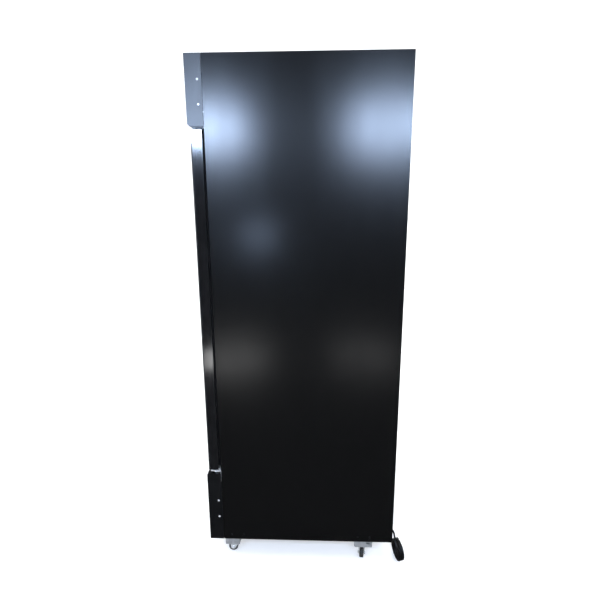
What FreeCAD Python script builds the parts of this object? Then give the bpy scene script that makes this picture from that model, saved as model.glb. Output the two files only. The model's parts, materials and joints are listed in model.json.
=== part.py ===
import FreeCAD, Part
import math
import os

# Single-door reach-in refrigerator on casters. Millimetres, +Z up, front towards -Y, and the
# origin on the floor under the middle of the cabinet.

V = FreeCAD.Vector
X, Y, Z = V(1, 0, 0), V(0, 1, 0), V(0, 0, 1)

# ---- overall ----
WIDTH = 686.0
DEPTH = 765.0
HEIGHT = 1981.0
BASE_Z = 100.0              # underside of the base pan
SHEET = 1.0                 # outer sheet steel
HALF_W = WIDTH / 2
FRONT_Y = -DEPTH / 2
BACK_Y = DEPTH / 2
FACIA_DEPTH = 57.0          # header and lower grille, front to back
CABINET_Y = FRONT_Y + FACIA_DEPTH + 1.5
FACIA_BACK_Y = FRONT_Y + FACIA_DEPTH
SIDE_FOLD = 18.0            # side panels folded in along the front
BACK_FOLD = 12.0            # and along the back
REAR_LIP = 25.0             # upturned edge of the base pan

# ---- cold box ----
DECK_Z = 400.0              # top of the machine bay
FLOOR_Z = 468.0             # inside floor
CEILING_Z = 1921.0
LINTEL_Z = 1700.0           # top of the door opening
LINER_X = 293.0
LINER_BACK_Y = 322.0
LINER_T = 0.8
FRAME_T = 2.0               # plastic front frame
LINTEL_DEPTH = 42.0

# ---- door ----
DOOR_X = 341.0
DOOR_FRONT_Y = FRONT_Y + 8.5
DOOR_T = 40.0
DOOR_BACK_Y = DOOR_FRONT_Y + DOOR_T
DOOR_Z0, DOOR_Z1 = 428.0, 1741.0
GLASS_T = 4.0
STILE_W = 45.0
STILE_WALL = 2.5
LIP_W = 10.0                # lip that holds the inner pane
LIP_Y0, LIP_Y1 = 16.0, 19.0
PANE_GAP = 0.2
SPACER_T = 12.0
SEAL_X, SEAL_W, SEAL_GAP = 329.0, 24.0, 0.4
GROOVE_DEPTH = 16.0         # finger groove in the handle stile
GROOVE_Y0, GROOVE_Y1 = -361.0, -343.0
HINGE_X, HINGE_Y = 331.0, -354.0
PIN_R = 6.0
LEG_Y = CABINET_Y - 3       # front face of a hinge bracket's leg
CLOSER_R = 2.5
RUNNING_GAP = 0.05

# ---- facias ----
HEADER_Z = 1750.0
GRILLE_Z1 = 408.0
HEADER_BEVEL, GRILLE_BEVEL = 8.0, 4.5
FACIA_SCREW_Y = FRONT_Y + 43.0
HEADER_SCREWS_Z = (1821.0, 1900.0)
GRILLE_SCREWS_Z = (209.0, 285.0)

# ---- inside ----
SHELF_ZS = (720.0, 960.0, 1200.0, 1440.0)
SHELF_X, SHELF_Y0, SHELF_Y1 = 281.0, -285.0, 300.0
SHELF_ROD_R, SHELF_BAR_R, SHELF_WIRE_R = 3.0, 2.6, 1.5
SHELF_GAPS = 23
POST_X, POST_YS = 287.0, (-250.0, 250.0)
EVAP_Z, EVAP_X, EVAP_Y0, EVAP_Y1 = 1722.0, 280.0, -205.0, 300.0
EVAP_FAN_Y = -90.0

# ---- machine bay ----
PAN_T = 1.2
COVER_Y = 338.0             # back face of the recessed rear cover
BAY_FAN = V(-60, -201, 227)
COMPRESSOR = V(170, 90, 122)
COMPRESSOR_R = 85.0

# ---- casters ----
WHEEL_R, WHEEL_W, TRAIL = 20.0, 17.0, 14.0
AXLE_R = 3.0
KINGPIN_R = 4.0
BRACKET_Z = 60.0            # underside of a caster's channel
BRACKET_T = 2.5
CORNER_R = 10.0             # rounded lower front corner of a rear bracket
CHANNEL_X0, CHANNEL_X1 = 263.0, 328.0
# side, swivel axis x and y, heading in degrees, channel from y and to y
CASTERS = {
    "front_left": (-1, 287.0, -283.0, 0.0, -322.5, -262.0),
    "front_right": (1, 287.0, -283.0, 0.0, -322.5, -262.0),
    "rear_left": (-1, 296.0, 262.5, -80.0, 224.5, 301.5),
    "rear_right": (1, 296.0, 262.5, 80.0, 224.5, 301.5),
}

# ---- cord ----
CORD_D = 7.6
EXIT = V(322, COVER_Y + 3, 187)
EXIT_TILT = math.radians(45)
RELIEF_L = 24.0
COIL_CENTRE = V(319, 412, 45.6)
COIL_YAW, COIL_LEAN = 15.0, 5.0
COIL_R_OUT, COIL_R_IN = 40.5, 32.7
COIL_ROWS, COIL_PITCH = 3, 7.8
TIE_ANGLE = -125.0          # round the coil from its +X side
TIE_W, TIE_T, TIE_GAP = 9.0, 1.4, 0.5
PLUG_FACE = V(-40, 408, 13)

nodes = {}


# ---- small helpers ----
def box(x0, x1, y0, y1, z0, z1):
    return Part.makeBox(x1 - x0, y1 - y0, z1 - z0, V(x0, y0, z0))


def rod(radius, start, end):
    way = end - start
    return Part.makeCylinder(radius, way.Length, start, way)


def prism(points, way):
    """A closed polygon swept straight along a vector."""
    return Part.Face(Part.makePolygon(points + points[:1])).extrude(way)


def fuse(solids):
    return solids[0].multiFuse(solids[1:]).removeSplitter()


def mirrored(shape):
    return shape.mirror(V(0, 0, 0), X)


def moved(shape, way):
    copy = shape.copy()
    copy.translate(way)
    return copy


def turned(shape, centre, axis, degrees):
    copy = shape.copy()
    copy.rotate(centre, axis, degrees)
    return copy


def add(name, *solids):
    """Keep the pieces of one node, each a solid of its own."""
    found = [s for shape in solids for s in shape.Solids]
    nodes[name] = found[0] if len(found) == 1 else Part.makeCompound(found)


def tube(points, radius, label):
    """A round tube along straight runs joined by tangent arcs as large as the runs allow."""
    ends, edges, radii, at = len(points) - 1, [], [], points[0]
    for i in range(1, ends):
        before, after = points[i] - points[i - 1], points[i + 1] - points[i]
        turn = before.getAngle(after)
        reach = 0.45 * min(before.Length, after.Length)
        radii.append(reach / math.tan(turn / 2))
        a = points[i] - before.normalize() * reach
        b = points[i] + after.normalize() * reach
        corner = points[i] - (a + b) * 0.5
        middle = points[i] - corner * ((1 - math.cos(turn / 2)) / math.sin(turn / 2) ** 2)
        edges += [Part.makeLine(at, a), Part.Arc(a, middle, b).toShape()]
        at = b
    edges.append(Part.makeLine(at, points[-1]))
    path = Part.Wire(edges)
    section = Part.Wire(Part.makeCircle(radius, points[0], points[1] - points[0]))
    solid = path.makePipeShell([section], True, False)
    share = solid.Volume / (math.pi * radius ** 2 * path.Length)
    print(label, "length %.0f radii" % path.Length, [round(r) for r in radii], "volume x%.3f" % share)
    return solid


def fan(radius, hub_r, hub_l, blades, chord, pitch, shaft_l):
    """Blades on a hub round +Z from z=0, on a shaft of their own that reaches up past the hub."""
    hub = Part.makeCylinder(hub_r, hub_l)
    parts = [hub]
    for i in range(blades):
        blade = Part.makeBox(radius - hub_r + 4, chord, 2, V(hub_r - 4, -chord / 2, hub_l / 2 - 1))
        blade.rotate(V(0, 0, hub_l / 2), X, pitch)
        blade.rotate(V(0, 0, 0), Z, 360 * i / blades)
        parts.append(blade)
    whole = fuse(parts).cut(Part.makeCylinder(AXLE_R, hub_l, V(0, 0, 0)))
    return [whole, Part.makeCylinder(AXLE_R, shaft_l)]


def fin_block(x0, x1, y0, y1, z0, z1, fins):
    """A finned heat exchanger: plates joined by a web of tubes along its back."""
    pitch = (x1 - x0) / fins
    slots = [box(x0 + pitch * (i + 0.3), x0 + pitch * (i + 1), y0 - 1, y1 - 12, z0 - 1, z1 + 1)
             for i in range(fins)]
    return box(x0, x1, y0, y1, z0, z1).cut(Part.makeCompound(slots))


def pan_head(at, way, head_r=4.0, head_h=2.2, shank_r=2.0, shank_l=8.0):
    """A screw whose head sits on the face at a point and stands out along a vector."""
    head = Part.makeCylinder(head_r, head_h, at, way)
    shank = Part.makeCylinder(shank_r, shank_l, at - way * shank_l, way)
    return fuse([head, shank])


def screw_hole(at, way, radius=2.0, depth=8.0):
    return Part.makeCylinder(radius, depth + 2, at - way * depth, way)


# ---- outer casing ----
def facia_screws():
    """Where the header and the grille are screwed from each side, with the outward way."""
    return [(V(side * HALF_W, FACIA_SCREW_Y, z), V(side, 0, 0))
            for side in (-1, 1) for z in HEADER_SCREWS_Z + GRILLE_SCREWS_Z]


def side_foot_screws():
    """Screws low in each side panel that hold it to the base pan."""
    return [(V(side * HALF_W, y, BASE_Z + 23), V(side, 0, 0))
            for side in (-1, 1) for y in (-290.0, -239.0, 237.5, 288.5)]


def drilled(shape, places):
    holes = Part.makeCompound([screw_hole(at, way) for at, way in places])
    return shape.cut(holes)


def side_panel():
    middle, top = HALF_W - SHEET / 2, HEIGHT - SHEET
    skin = box(HALF_W - SHEET, HALF_W, CABINET_Y, BACK_Y, BASE_Z, HEIGHT)
    front = box(HALF_W - SIDE_FOLD, middle, CABINET_Y, CABINET_Y + SHEET, BASE_Z, top)
    back = box(HALF_W - BACK_FOLD, middle, BACK_Y - SHEET, BACK_Y, BASE_Z + REAR_LIP, top)
    return drilled(fuse([skin, front, back]), side_foot_screws())


def facia(z0, z1, bevel, bevel_on_top):
    """A folded box open to the back, x across the whole front, with one long edge cut off."""
    def outline(inset, back):
        y0, low, high = FRONT_Y + inset, z0 + inset, z1 - inset
        if bevel_on_top:
            return [(y0, low), (y0, high - bevel), (y0 + bevel, high), (back, high), (back, low)]
        return [(y0, high), (y0, low + bevel), (y0 + bevel, low), (back, low), (back, high)]

    def body(inset, back):
        x = HALF_W - inset
        return prism([V(-x, y, z) for y, z in outline(inset, back)], V(2 * x, 0, 0))

    return body(0, FACIA_BACK_Y).cut(body(SHEET, FACIA_BACK_Y + 1))


def hinge_notch(z0, z1):
    """Room for a hinge bracket's leg, and for the end of the door's closing rod."""
    leg = box(HINGE_X - 35, HALF_W - SHEET, CABINET_Y - 6, CABINET_Y, z0, z1)
    return leg.fuse(box(HINGE_X - 7, HINGE_X + 7, HINGE_Y - 7, CABINET_Y, z0, z1))


def header_frame():
    window = box(-300, 300, FRONT_Y - 1, FRONT_Y + 2, 1790, 1950)
    shell = facia(HEADER_Z, HEIGHT, HEADER_BEVEL, False).cut(window)
    return drilled(shell.cut(hinge_notch(HEADER_Z - 1, HEADER_Z + 2)), facia_screws())


def lower_grille():
    shell = facia(BASE_Z, GRILLE_Z1, GRILLE_BEVEL, True)
    shell = shell.cut(hinge_notch(GRILLE_Z1 - 2, GRILLE_Z1 + 1))
    y0, y1 = FRONT_Y - 1, FRONT_Y + 2
    slots = [box(x - 86, x + 86, y0, y1, z, z + 7) for x in (-190, 0, 190) for z in range(130, 331, 18)]
    controller, switch = box(156, 234, y0, y1, 350, 386), box(262, 286, y0, y1, 352, 384)
    return drilled(shell.cut(Part.makeCompound(slots + [controller, switch])), facia_screws())


def facia_bracket(z0, z1):
    """An angle between the cabinet front and the side of a facia."""
    tab = box(HALF_W - 3, HALF_W - SHEET, FACIA_SCREW_Y - 9, CABINET_Y, z0, z1)
    foot = box(HALF_W - 23, HALF_W - 2, CABINET_Y - 2, CABINET_Y, z0, z1)
    return drilled(fuse([tab, foot]), facia_screws())


def casing():
    panel = side_panel()
    add("side_panel_right", panel)
    add("side_panel_left", mirrored(panel))
    inner = HALF_W - SHEET
    add("top_panel", box(-inner, inner, CABINET_Y, BACK_Y, HEIGHT - SHEET, HEIGHT))
    add("back_panel", box(-inner, inner, BACK_Y - 2 * SHEET, BACK_Y - SHEET, DECK_Z, HEIGHT - SHEET))
    add("header_frame", header_frame())
    add("lower_grille", lower_grille())
    brackets = [facia_bracket(1800, 1921), facia_bracket(188, 306)]
    add("facia_brackets", *brackets, *[mirrored(b) for b in brackets])
    add("sign_panel", box(-306, 306, FRONT_Y + SHEET, FRONT_Y + SHEET + 3, 1784, 1956))
    lamp_y, lamp_z = FRONT_Y + 34, 1870
    lamp = rod(8, V(-268, lamp_y, lamp_z), V(268, lamp_y, lamp_z))
    holder = box(268, 284, lamp_y - 12, CABINET_Y, lamp_z - 14, lamp_z + 14)
    add("header_lamp", lamp, holder, mirrored(holder))


def base():
    """The base pan, and the deck over the machine bay."""
    inner = HALF_W - SHEET
    front = CABINET_Y + SHEET
    pan = fuse([
        box(-inner, inner, front, BACK_Y, BASE_Z, BASE_Z + PAN_T),
        box(-inner, inner, BACK_Y - PAN_T, BACK_Y, BASE_Z, BASE_Z + REAR_LIP),
        box(-inner, inner, front, front + PAN_T, BASE_Z, BASE_Z + 40),
        box(inner - PAN_T, inner, front, BACK_Y - PAN_T, BASE_Z, BASE_Z + 32),
        box(-inner, -inner + PAN_T, front, BACK_Y - PAN_T, BASE_Z, BASE_Z + 32),
    ])
    deck = box(-inner, inner, front + SHEET, BACK_Y - 2 * SHEET, DECK_Z, DECK_Z + SHEET)
    add("base_pan", drilled(pan, side_foot_screws()), deck)


def rear_cover():
    """The louvred cover set into the back of the machine bay."""
    inner = HALF_W - SHEET
    z0 = BASE_Z + 33
    plate = box(-inner, inner, COVER_Y - SHEET, COVER_Y, z0, DECK_Z)
    flanges = [box(s * inner - (SHEET if s > 0 else 0), s * inner + (SHEET if s < 0 else 0),
                   COVER_Y - SHEET, COVER_Y + 14, z0, DECK_Z) for s in (-1, 1)]
    foot = box(-inner, inner, COVER_Y - SHEET, COVER_Y, BASE_Z + PAN_T, z0 + 1)
    foot = foot.cut(box(inner - PAN_T, inner, COVER_Y - 2, COVER_Y + 1, BASE_Z, z0))
    foot = foot.cut(box(-inner, -inner + PAN_T, COVER_Y - 2, COVER_Y + 1, BASE_Z, z0))
    slots = [box(x, x + 92, COVER_Y - 2, COVER_Y + 1, z, z + 6)
             for x in (-300, -190, -80, 30, 140) for z in range(170, 371, 20)]
    relief_hole = rod(11, V(EXIT.x, COVER_Y - 2, EXIT.z), V(EXIT.x, COVER_Y + 1, EXIT.z))
    add("rear_cover", fuse([plate, foot] + flanges).cut(Part.makeCompound(slots)).cut(relief_hole))


# ---- cold box ----
def cold_box():
    inner, back = HALF_W - SHEET, BACK_Y - 2 * SHEET
    lx, ly = LINER_X + LINER_T, LINER_BACK_Y + LINER_T
    face = CABINET_Y + FRAME_T
    low, high = DECK_Z + SHEET, HEIGHT - SHEET
    lintel_back = CABINET_Y + LINTEL_DEPTH
    add("insulation",
        box(lx, inner, face, back, low, high),
        box(-inner, -lx, face, back, low, high),
        box(-lx, lx, ly, back, low, high),
        box(-lx, lx, face, ly, CEILING_Z + LINER_T, high),
        box(-lx, lx, face, ly, low, FLOOR_Z - LINER_T),
        box(-LINER_X, LINER_X, face, lintel_back, LINTEL_Z + LINER_T, CEILING_Z))
    add("liner",
        box(LINER_X, lx, face, ly, FLOOR_Z - LINER_T, CEILING_Z + LINER_T),
        box(-lx, -LINER_X, face, ly, FLOOR_Z - LINER_T, CEILING_Z + LINER_T),
        box(-LINER_X, LINER_X, LINER_BACK_Y, ly, FLOOR_Z, CEILING_Z),
        box(-LINER_X, LINER_X, face, ly, CEILING_Z, CEILING_Z + LINER_T),
        box(-LINER_X, LINER_X, face, ly, FLOOR_Z - LINER_T, FLOOR_Z),
        box(-LINER_X, LINER_X, lintel_back, lintel_back + LINER_T, LINTEL_Z, CEILING_Z),
        box(-LINER_X, LINER_X, face, lintel_back, LINTEL_Z, LINTEL_Z + LINER_T))
    edge = HALF_W - SIDE_FOLD
    add("front_frame",
        box(LINER_X, edge, CABINET_Y, face, FLOOR_Z, LINTEL_Z),
        box(-edge, -LINER_X, CABINET_Y, face, FLOOR_Z, LINTEL_Z),
        box(-edge, edge, CABINET_Y, face, DECK_Z, FLOOR_Z),
        box(-edge, edge, CABINET_Y, face, LINTEL_Z, HEIGHT - SHEET))


def shelf_supports():
    """Slotted posts against the side walls, and four clips under each shelf."""
    post = box(POST_X, LINER_X, -10, 10, 500, 1690)
    post = post.cut(box(POST_X + 1.2, LINER_X + 1, -8.8, 8.8, 499, 1691))
    slots = [box(POST_X - 1, POST_X + 2, -6, 6, z, z + 4) for z in range(512, 1680, 24)]
    post = post.cut(Part.makeCompound(slots))
    solids = []
    for y in POST_YS:
        right = [moved(post, V(0, y, 0))]
        for z in SHELF_ZS:
            arm = box(SHELF_X - 8, POST_X, y - 6, y + 6, z - 5, z - 3)
            stop = box(POST_X - 1.5, POST_X, y - 6, y + 6, z - 16, z - 3)
            right.append(fuse([arm, stop]))
        solids += right + [mirrored(s) for s in right]
    add("shelf_supports", *solids)


def wire_shelf():
    """Thin wires from front to back on four cross bars between two side rods, about z = 0."""
    x, y0, y1 = SHELF_X, SHELF_Y0, SHELF_Y1
    middle, spread = (y0 + y1) / 2, 90.0
    rods = [rod(SHELF_ROD_R, V(side, y0 - 5, 0), V(side, y1 + 5, 0)) for side in (-x, x)]
    for y in (y0, middle - spread, middle + spread, y1):
        rods.append(rod(SHELF_BAR_R, V(-x, y, 0), V(x, y, 0)))
    for i in range(1, SHELF_GAPS):
        wire_x = -x + 2 * x * i / SHELF_GAPS
        rods.append(rod(SHELF_WIRE_R, V(wire_x, y0 - 1, SHELF_BAR_R), V(wire_x, y1 + 1, SHELF_BAR_R)))
    return rods[0].multiFuse(rods[1:])


def shelves():
    shelf = wire_shelf()
    add("shelves", *[moved(shelf, V(0, 0, z)) for z in SHELF_ZS])


def evaporator():
    x, y0, y1, z = EVAP_X, EVAP_Y0, EVAP_Y1, EVAP_Z
    shell = box(-x, x, y0, y1, z, CEILING_Z)
    shell = shell.cut(box(-x + SHEET, x - SHEET, y0 + SHEET, y1 + 1, z + SHEET, CEILING_Z + 1))
    shell = shell.cut(rod(98, V(0, EVAP_FAN_Y, z - 1), V(0, EVAP_FAN_Y, z + 2)))
    louvres = [box(lx, lx + 100, y0 - 1, y0 + 2, lz, lz + 8)
               for lx in (-260, -140, 40, 160) for lz in range(1790, 1890, 20)]
    add("evaporator_housing", shell.cut(Part.makeCompound(louvres)))
    plates = [box(240, 242, 30, 250, 1750, CEILING_Z), box(-242, -240, 30, 250, 1750, CEILING_Z)]
    add("evaporator_coil", fin_block(-240, 240, 40, 240, 1765, 1880, 48), *plates)
    yoke = fuse([box(-112, 112, EVAP_FAN_Y - 12, EVAP_FAN_Y + 12, 1840, 1843),
                 box(110, 112, EVAP_FAN_Y - 12, EVAP_FAN_Y + 12, 1840, CEILING_Z),
                 box(-112, -110, EVAP_FAN_Y - 12, EVAP_FAN_Y + 12, 1840, CEILING_Z)])
    motor = Part.makeCylinder(32, 40, V(0, EVAP_FAN_Y, 1800))
    motor = motor.cut(Part.makeCylinder(AXLE_R + RUNNING_GAP, 32, V(0, EVAP_FAN_Y, 1799)))
    motors = [motor, yoke]
    blades = [moved(s, V(0, EVAP_FAN_Y, 1740)) for s in fan(88, 24, 22, 5, 46, 24, 88)]
    add("evaporator_fan", *blades)
    strip = box(-250, 250, y0 - 6, y0, z + 12, z + 40)
    lens = rod(9, V(-244, y0 - 6, z + 26), V(244, y0 - 6, z + 26)).common(
        box(-250, 250, y0 - 20, y0 - 6, z, z + 60))
    add("interior_lamp", strip, lens)
    return motors


# ---- door ----
def mitre(side, width):
    """The room of one upright of the door frame, cut off at 45 degrees at both ends."""
    x, z0, z1 = DOOR_X, DOOR_Z0, DOOR_Z1
    points = [(x, z0), (x, z1), (x - width, z1 - width), (x - width, z0 + width)]
    return prism([V(side * px, DOOR_FRONT_Y - 1, pz) for px, pz in points], V(0, DOOR_T + 2, 0))


def rail_mitre(top, width):
    x, z, s = DOOR_X, (DOOR_Z1 if top else DOOR_Z0), (-1 if top else 1)
    points = [(-x, z), (x, z), (x - width, z + s * width), (-x + width, z + s * width)]
    return prism([V(px, DOOR_FRONT_Y - 1, pz) for px, pz in points], V(0, DOOR_T + 2, 0))


def hinge_holes():
    return Part.makeCompound([rod(9, V(HINGE_X, HINGE_Y, z0), V(HINGE_X, HINGE_Y, z1))
                              for z0, z1 in ((DOOR_Z0 - 1, DOOR_Z0 + 3), (DOOR_Z1 - 3, DOOR_Z1 + 1))])


def door_bush(edge_z, way):
    """The block in a corner of the frame that turns on a hinge pin, with its flange at the door's edge."""
    y0, y1, w = DOOR_FRONT_Y + GLASS_T, DOOR_BACK_Y, STILE_WALL
    proud = 3.6 if way > 0 else 2.1
    near, far = sorted((edge_z + way * w, edge_z + way * 42))
    block = box(DOOR_X - STILE_W + w, DOOR_X - w, y0 + w, y1 - w, near, far)
    flange = rod(9, V(HINGE_X, HINGE_Y, edge_z - way * proud), V(HINGE_X, HINGE_Y, edge_z + way * w))
    ends = [V(HINGE_X, HINGE_Y, edge_z + way * d) for d in (-5, 43)]
    return fuse([block, flange]).cut(rod(PIN_R + RUNNING_GAP, *ends))


def door_rail(z, way):
    """One cross rail of the door frame, hollow, from the door's edge inwards."""
    y0, y1, w = DOOR_FRONT_Y + GLASS_T, DOOR_BACK_Y, STILE_WALL

    def band(near, far, ya, yb):
        low, high = sorted((z + way * near, z + way * far))
        return box(-DOOR_X, DOOR_X, ya, yb, low, high)

    rail = fuse([band(0, STILE_W, y0, y1), band(STILE_W, STILE_W + LIP_W, y0 + LIP_Y0, y0 + LIP_Y1)])
    rail = rail.cut(band(w, STILE_W - w, y0 + w, y1 - w))
    return rail.common(rail_mitre(way < 0, STILE_W + LIP_W)).cut(hinge_holes())


def door():
    y0, y1 = DOOR_FRONT_Y + GLASS_T, DOOR_BACK_Y
    a, b, w = DOOR_X, DOOR_X - STILE_W, STILE_WALL
    z0, z1 = DOOR_Z0, DOOR_Z1

    stile = fuse([box(b, a, y0, y1, z0, z1), box(b - LIP_W, b, y0 + LIP_Y0, y0 + LIP_Y1, z0, z1)])
    hollow = box(b + w, a - w, y0 + w, y1 - w, z0, z1)
    hinge_stile = stile.cut(hollow).common(mitre(1, STILE_W + LIP_W))
    add("door_hinge_stile", hinge_stile.cut(hinge_holes()))

    groove = box(a - GROOVE_DEPTH, a + 1, GROOVE_Y0, GROOVE_Y1, z0, z1)
    chamber = box(b + w, a - GROOVE_DEPTH - w, y0 + w, y1 - w, z0, z1)
    handle = stile.cut(groove).cut(chamber).common(mitre(1, STILE_W + LIP_W))
    add("door_handle_stile", mirrored(handle))
    add("door_rails", door_rail(z0, 1), door_rail(z1, -1))

    add("door_outer_glass", box(-a, a, DOOR_FRONT_Y, y0, z0, z1))
    gx, gz0, gz1 = b - PANE_GAP, z0 + STILE_W + PANE_GAP, z1 - STILE_W - PANE_GAP
    bar = SPACER_T
    frame = box(-gx, gx, y0, y0 + bar, gz0, gz1)
    frame = frame.cut(box(-gx + bar, gx - bar, y0 - 1, y0 + bar + 1, gz0 + bar, gz1 - bar))
    add("door_glass_spacer", frame)
    add("door_inner_glass", box(-gx, gx, y0 + bar, y0 + bar + GLASS_T, gz0, gz1))

    seal = box(-SEAL_X, SEAL_X, y1, CABINET_Y - SEAL_GAP, z0 + 10, z1 - 10)
    inner = SEAL_X - SEAL_W
    room = box(-inner, inner, y1 - 1, CABINET_Y + 1, z0 + 10 + SEAL_W, z1 - 10 - SEAL_W)
    add("door_gasket", seal.cut(room))
    add("door_bushes", door_bush(z0, 1), door_bush(z1, -1))


def hinge_bracket(z0, z1, pin_z0, pin_z1, leg_z0, leg_z1):
    """A leaf over or under the door with a pin, on a leg screwed to the cabinet front."""
    leaf = box(HINGE_X - 31, HINGE_X + 10, HINGE_Y - 12, CABINET_Y, z0, z1)
    leg = box(HINGE_X - 31, HINGE_X + 9, LEG_Y, CABINET_Y, leg_z0, leg_z1)
    pin = rod(PIN_R, V(HINGE_X, HINGE_Y, pin_z0), V(HINGE_X, HINGE_Y, pin_z1))
    return fuse([leaf, leg, pin])


def hinge_brackets():
    """Both brackets and the rod that closes the door. Returns their bolts."""
    low = hinge_bracket(420, 424, 420, 462, 372, 424)
    high = hinge_bracket(1743.5, 1747.5, 1712, 1747.5, 1743.5, 1795)
    bolt_places = [V(x, LEG_Y, z) for x in (308, 326) for z in (384, 1775)]
    holes = Part.makeCompound([screw_hole(at, -Y, 2.5, 3) for at in bolt_places])

    hook = V(HINGE_X, CABINET_Y - 11, 419)
    low = low.cut(rod(CLOSER_R + 0.1, V(HINGE_X, HINGE_Y, 419), V(HINGE_X, HINGE_Y, 463)))
    low = low.cut(box(HINGE_X - 7, HINGE_X + 11, hook.y - 8, LEG_Y, 419, 425))
    path = [V(HINGE_X, HINGE_Y, 460), V(HINGE_X, HINGE_Y, hook.z - 9), hook - Z * 5]
    closer = fuse([tube(path, CLOSER_R, "torsion rod"), Part.makeTorus(5, CLOSER_R - 0.1, hook, X)])
    add("hinge_brackets", low.cut(holes), high.cut(holes), closer)
    return [pan_head(at, -Y, 5, 3, 2.5, 3) for at in bolt_places]


# ---- controls in the lower grille ----
def controls():
    y = FRONT_Y + 1.5
    bezel = fuse([box(156.2, 233.8, y, y + 3, 350.2, 385.8),
                  box(150, 240, FRONT_Y + SHEET, FRONT_Y + SHEET + 2, 345, 391),
                  box(160, 230, y, y + 45, 353, 383)])
    bezel = bezel.cut(box(163, 197, y - 1, y + 1.2, 356, 380))
    switch = fuse([box(262.2, 285.8, y, y + 3, 352.2, 383.8),
                   box(257, 291, FRONT_Y + SHEET, FRONT_Y + SHEET + 2, 347, 389),
                   box(264, 284, y, y + 26, 354, 382)])
    switch = switch.cut(box(266.5, 281.5, y - 1, y + 14, 357, 379))
    pin_z = 368
    pin = rod(1.2, V(264.5, y + 7, pin_z), V(283.5, y + 7, pin_z))
    switch = switch.cut(pin)
    for i, name in enumerate(("button_set", "button_up", "button_down")):
        x = 204 + 9.5 * i
        bezel = bezel.cut(box(x - 3.8, x + 3.8, y - 1, y + 6, 362.2, 373.8))
        add(name, box(x - 3.4, x + 3.4, y - 1.2, y + 4, 362.6, 373.4))
    rocker = prism([V(267, y + 7 + a, pin_z + b) for a, b in
                    ((-7, 9.6), (-5.2, 0), (-7, -9.6), (1, -9.0), (4, 0), (1, 9.0))], V(14, 0, 0))
    rocker = rocker.cut(rod(1.25, V(260, y + 7, pin_z), V(290, y + 7, pin_z)))
    add("lamp_rocker", turned(rocker, V(0, y + 7, pin_z), X, 7))
    add("control_housing", bezel, switch, pin)


# ---- machine bay ----
def machine_bay(motors):
    floor = BASE_Z + PAN_T
    c = COMPRESSOR
    shell = Part.makeCylinder(COMPRESSOR_R, 205, c)
    shell = shell.makeFillet(42, [e for e in shell.Edges if e.Closed and isinstance(e.Curve, Part.Circle)])
    feet = box(c.x - 96, c.x + 96, c.y - 96, c.y + 96, c.z - 3, c.z)
    corners = [V(c.x + sx * 80, c.y + sy * 80, 0) for sx in (-1, 1) for sy in (-1, 1)]
    for p in corners:
        feet = feet.cut(Part.makeCylinder(4.2, 10, V(p.x, p.y, c.z - 6)))
    seam = Part.makeCylinder(COMPRESSOR_R + 4, 6, V(c.x, c.y, c.z + 118))
    add("compressor", fuse([shell, seam, feet]))
    grommets = [Part.makeCylinder(13, c.z - 3 - floor, V(p.x, p.y, floor)).cut(
        Part.makeCylinder(4.2, 40, V(p.x, p.y, floor - 1))) for p in corners]
    add("compressor_mounts", *grommets)
    bolts = [fuse([rod(4, V(p.x, p.y, floor), V(p.x, p.y, c.z + 5)),
                   rod(8, V(p.x, p.y, c.z), V(p.x, p.y, c.z + 5))]) for p in corners]

    terminal = box(c.x + 70, c.x + 108, c.y - 30, c.y + 30, c.z + 50, c.z + 110)
    terminal = terminal.cut(Part.makeCylinder(COMPRESSOR_R, 205, c))
    supply = box(210, 320, 215, 320, floor, 172)
    add("junction_boxes", terminal, supply)

    x0, x1, y0, y1, z0, z1 = -220, 100, -292, -240, 112, 342
    plates = [box(x0 - 2, x0, y0, y1, floor, z1), box(x1, x1 + 2, y0, y1, floor, z1)]
    add("condenser_coil", fin_block(x0, x1, y0, y1, z0, z1, 46), *plates)
    f = BAY_FAN
    shroud = box(x0, x1, y1, f.y + SHEET, z0, z1).cut(box(x0 + 1, x1 - 1, y1 - 1, f.y, z0 + 1, z1 - 1))
    shroud = shroud.cut(rod(105, f - Y * 5, f + Y * 5))
    add("fan_shroud", shroud)
    motor = rod(38, f + Y * 30, f + Y * 85)
    motor = motor.cut(rod(AXLE_R + RUNNING_GAP, f + Y * 29, f + Y * 70))
    saddle = box(f.x - 34, f.x + 34, f.y + 40, f.y + 70, floor, f.z - 5)
    saddle = saddle.cut(rod(38, f + Y * 30, f + Y * 85))
    add("fan_motors", *motors, motor, saddle)
    blades = []
    for s in fan(100, 26, 24, 5, 52, 26, 70):
        blades.append(moved(turned(s, V(0, 0, 0), X, -90), f - Y * 6))
    add("condenser_fan", *blades)

    tray = box(-290, -60, 60, 300, floor, floor + 48)
    tray = tray.cut(box(-288, -62, 62, 298, floor + 2, floor + 50))
    hose = rod(9, V(-200, 270, floor + 20), V(-200, 270, DECK_Z)).cut(
        rod(7, V(-200, 270, floor), V(-200, 270, DECK_Z + 1)))
    add("drain_pan", tray, hose)
    return bolts


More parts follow.
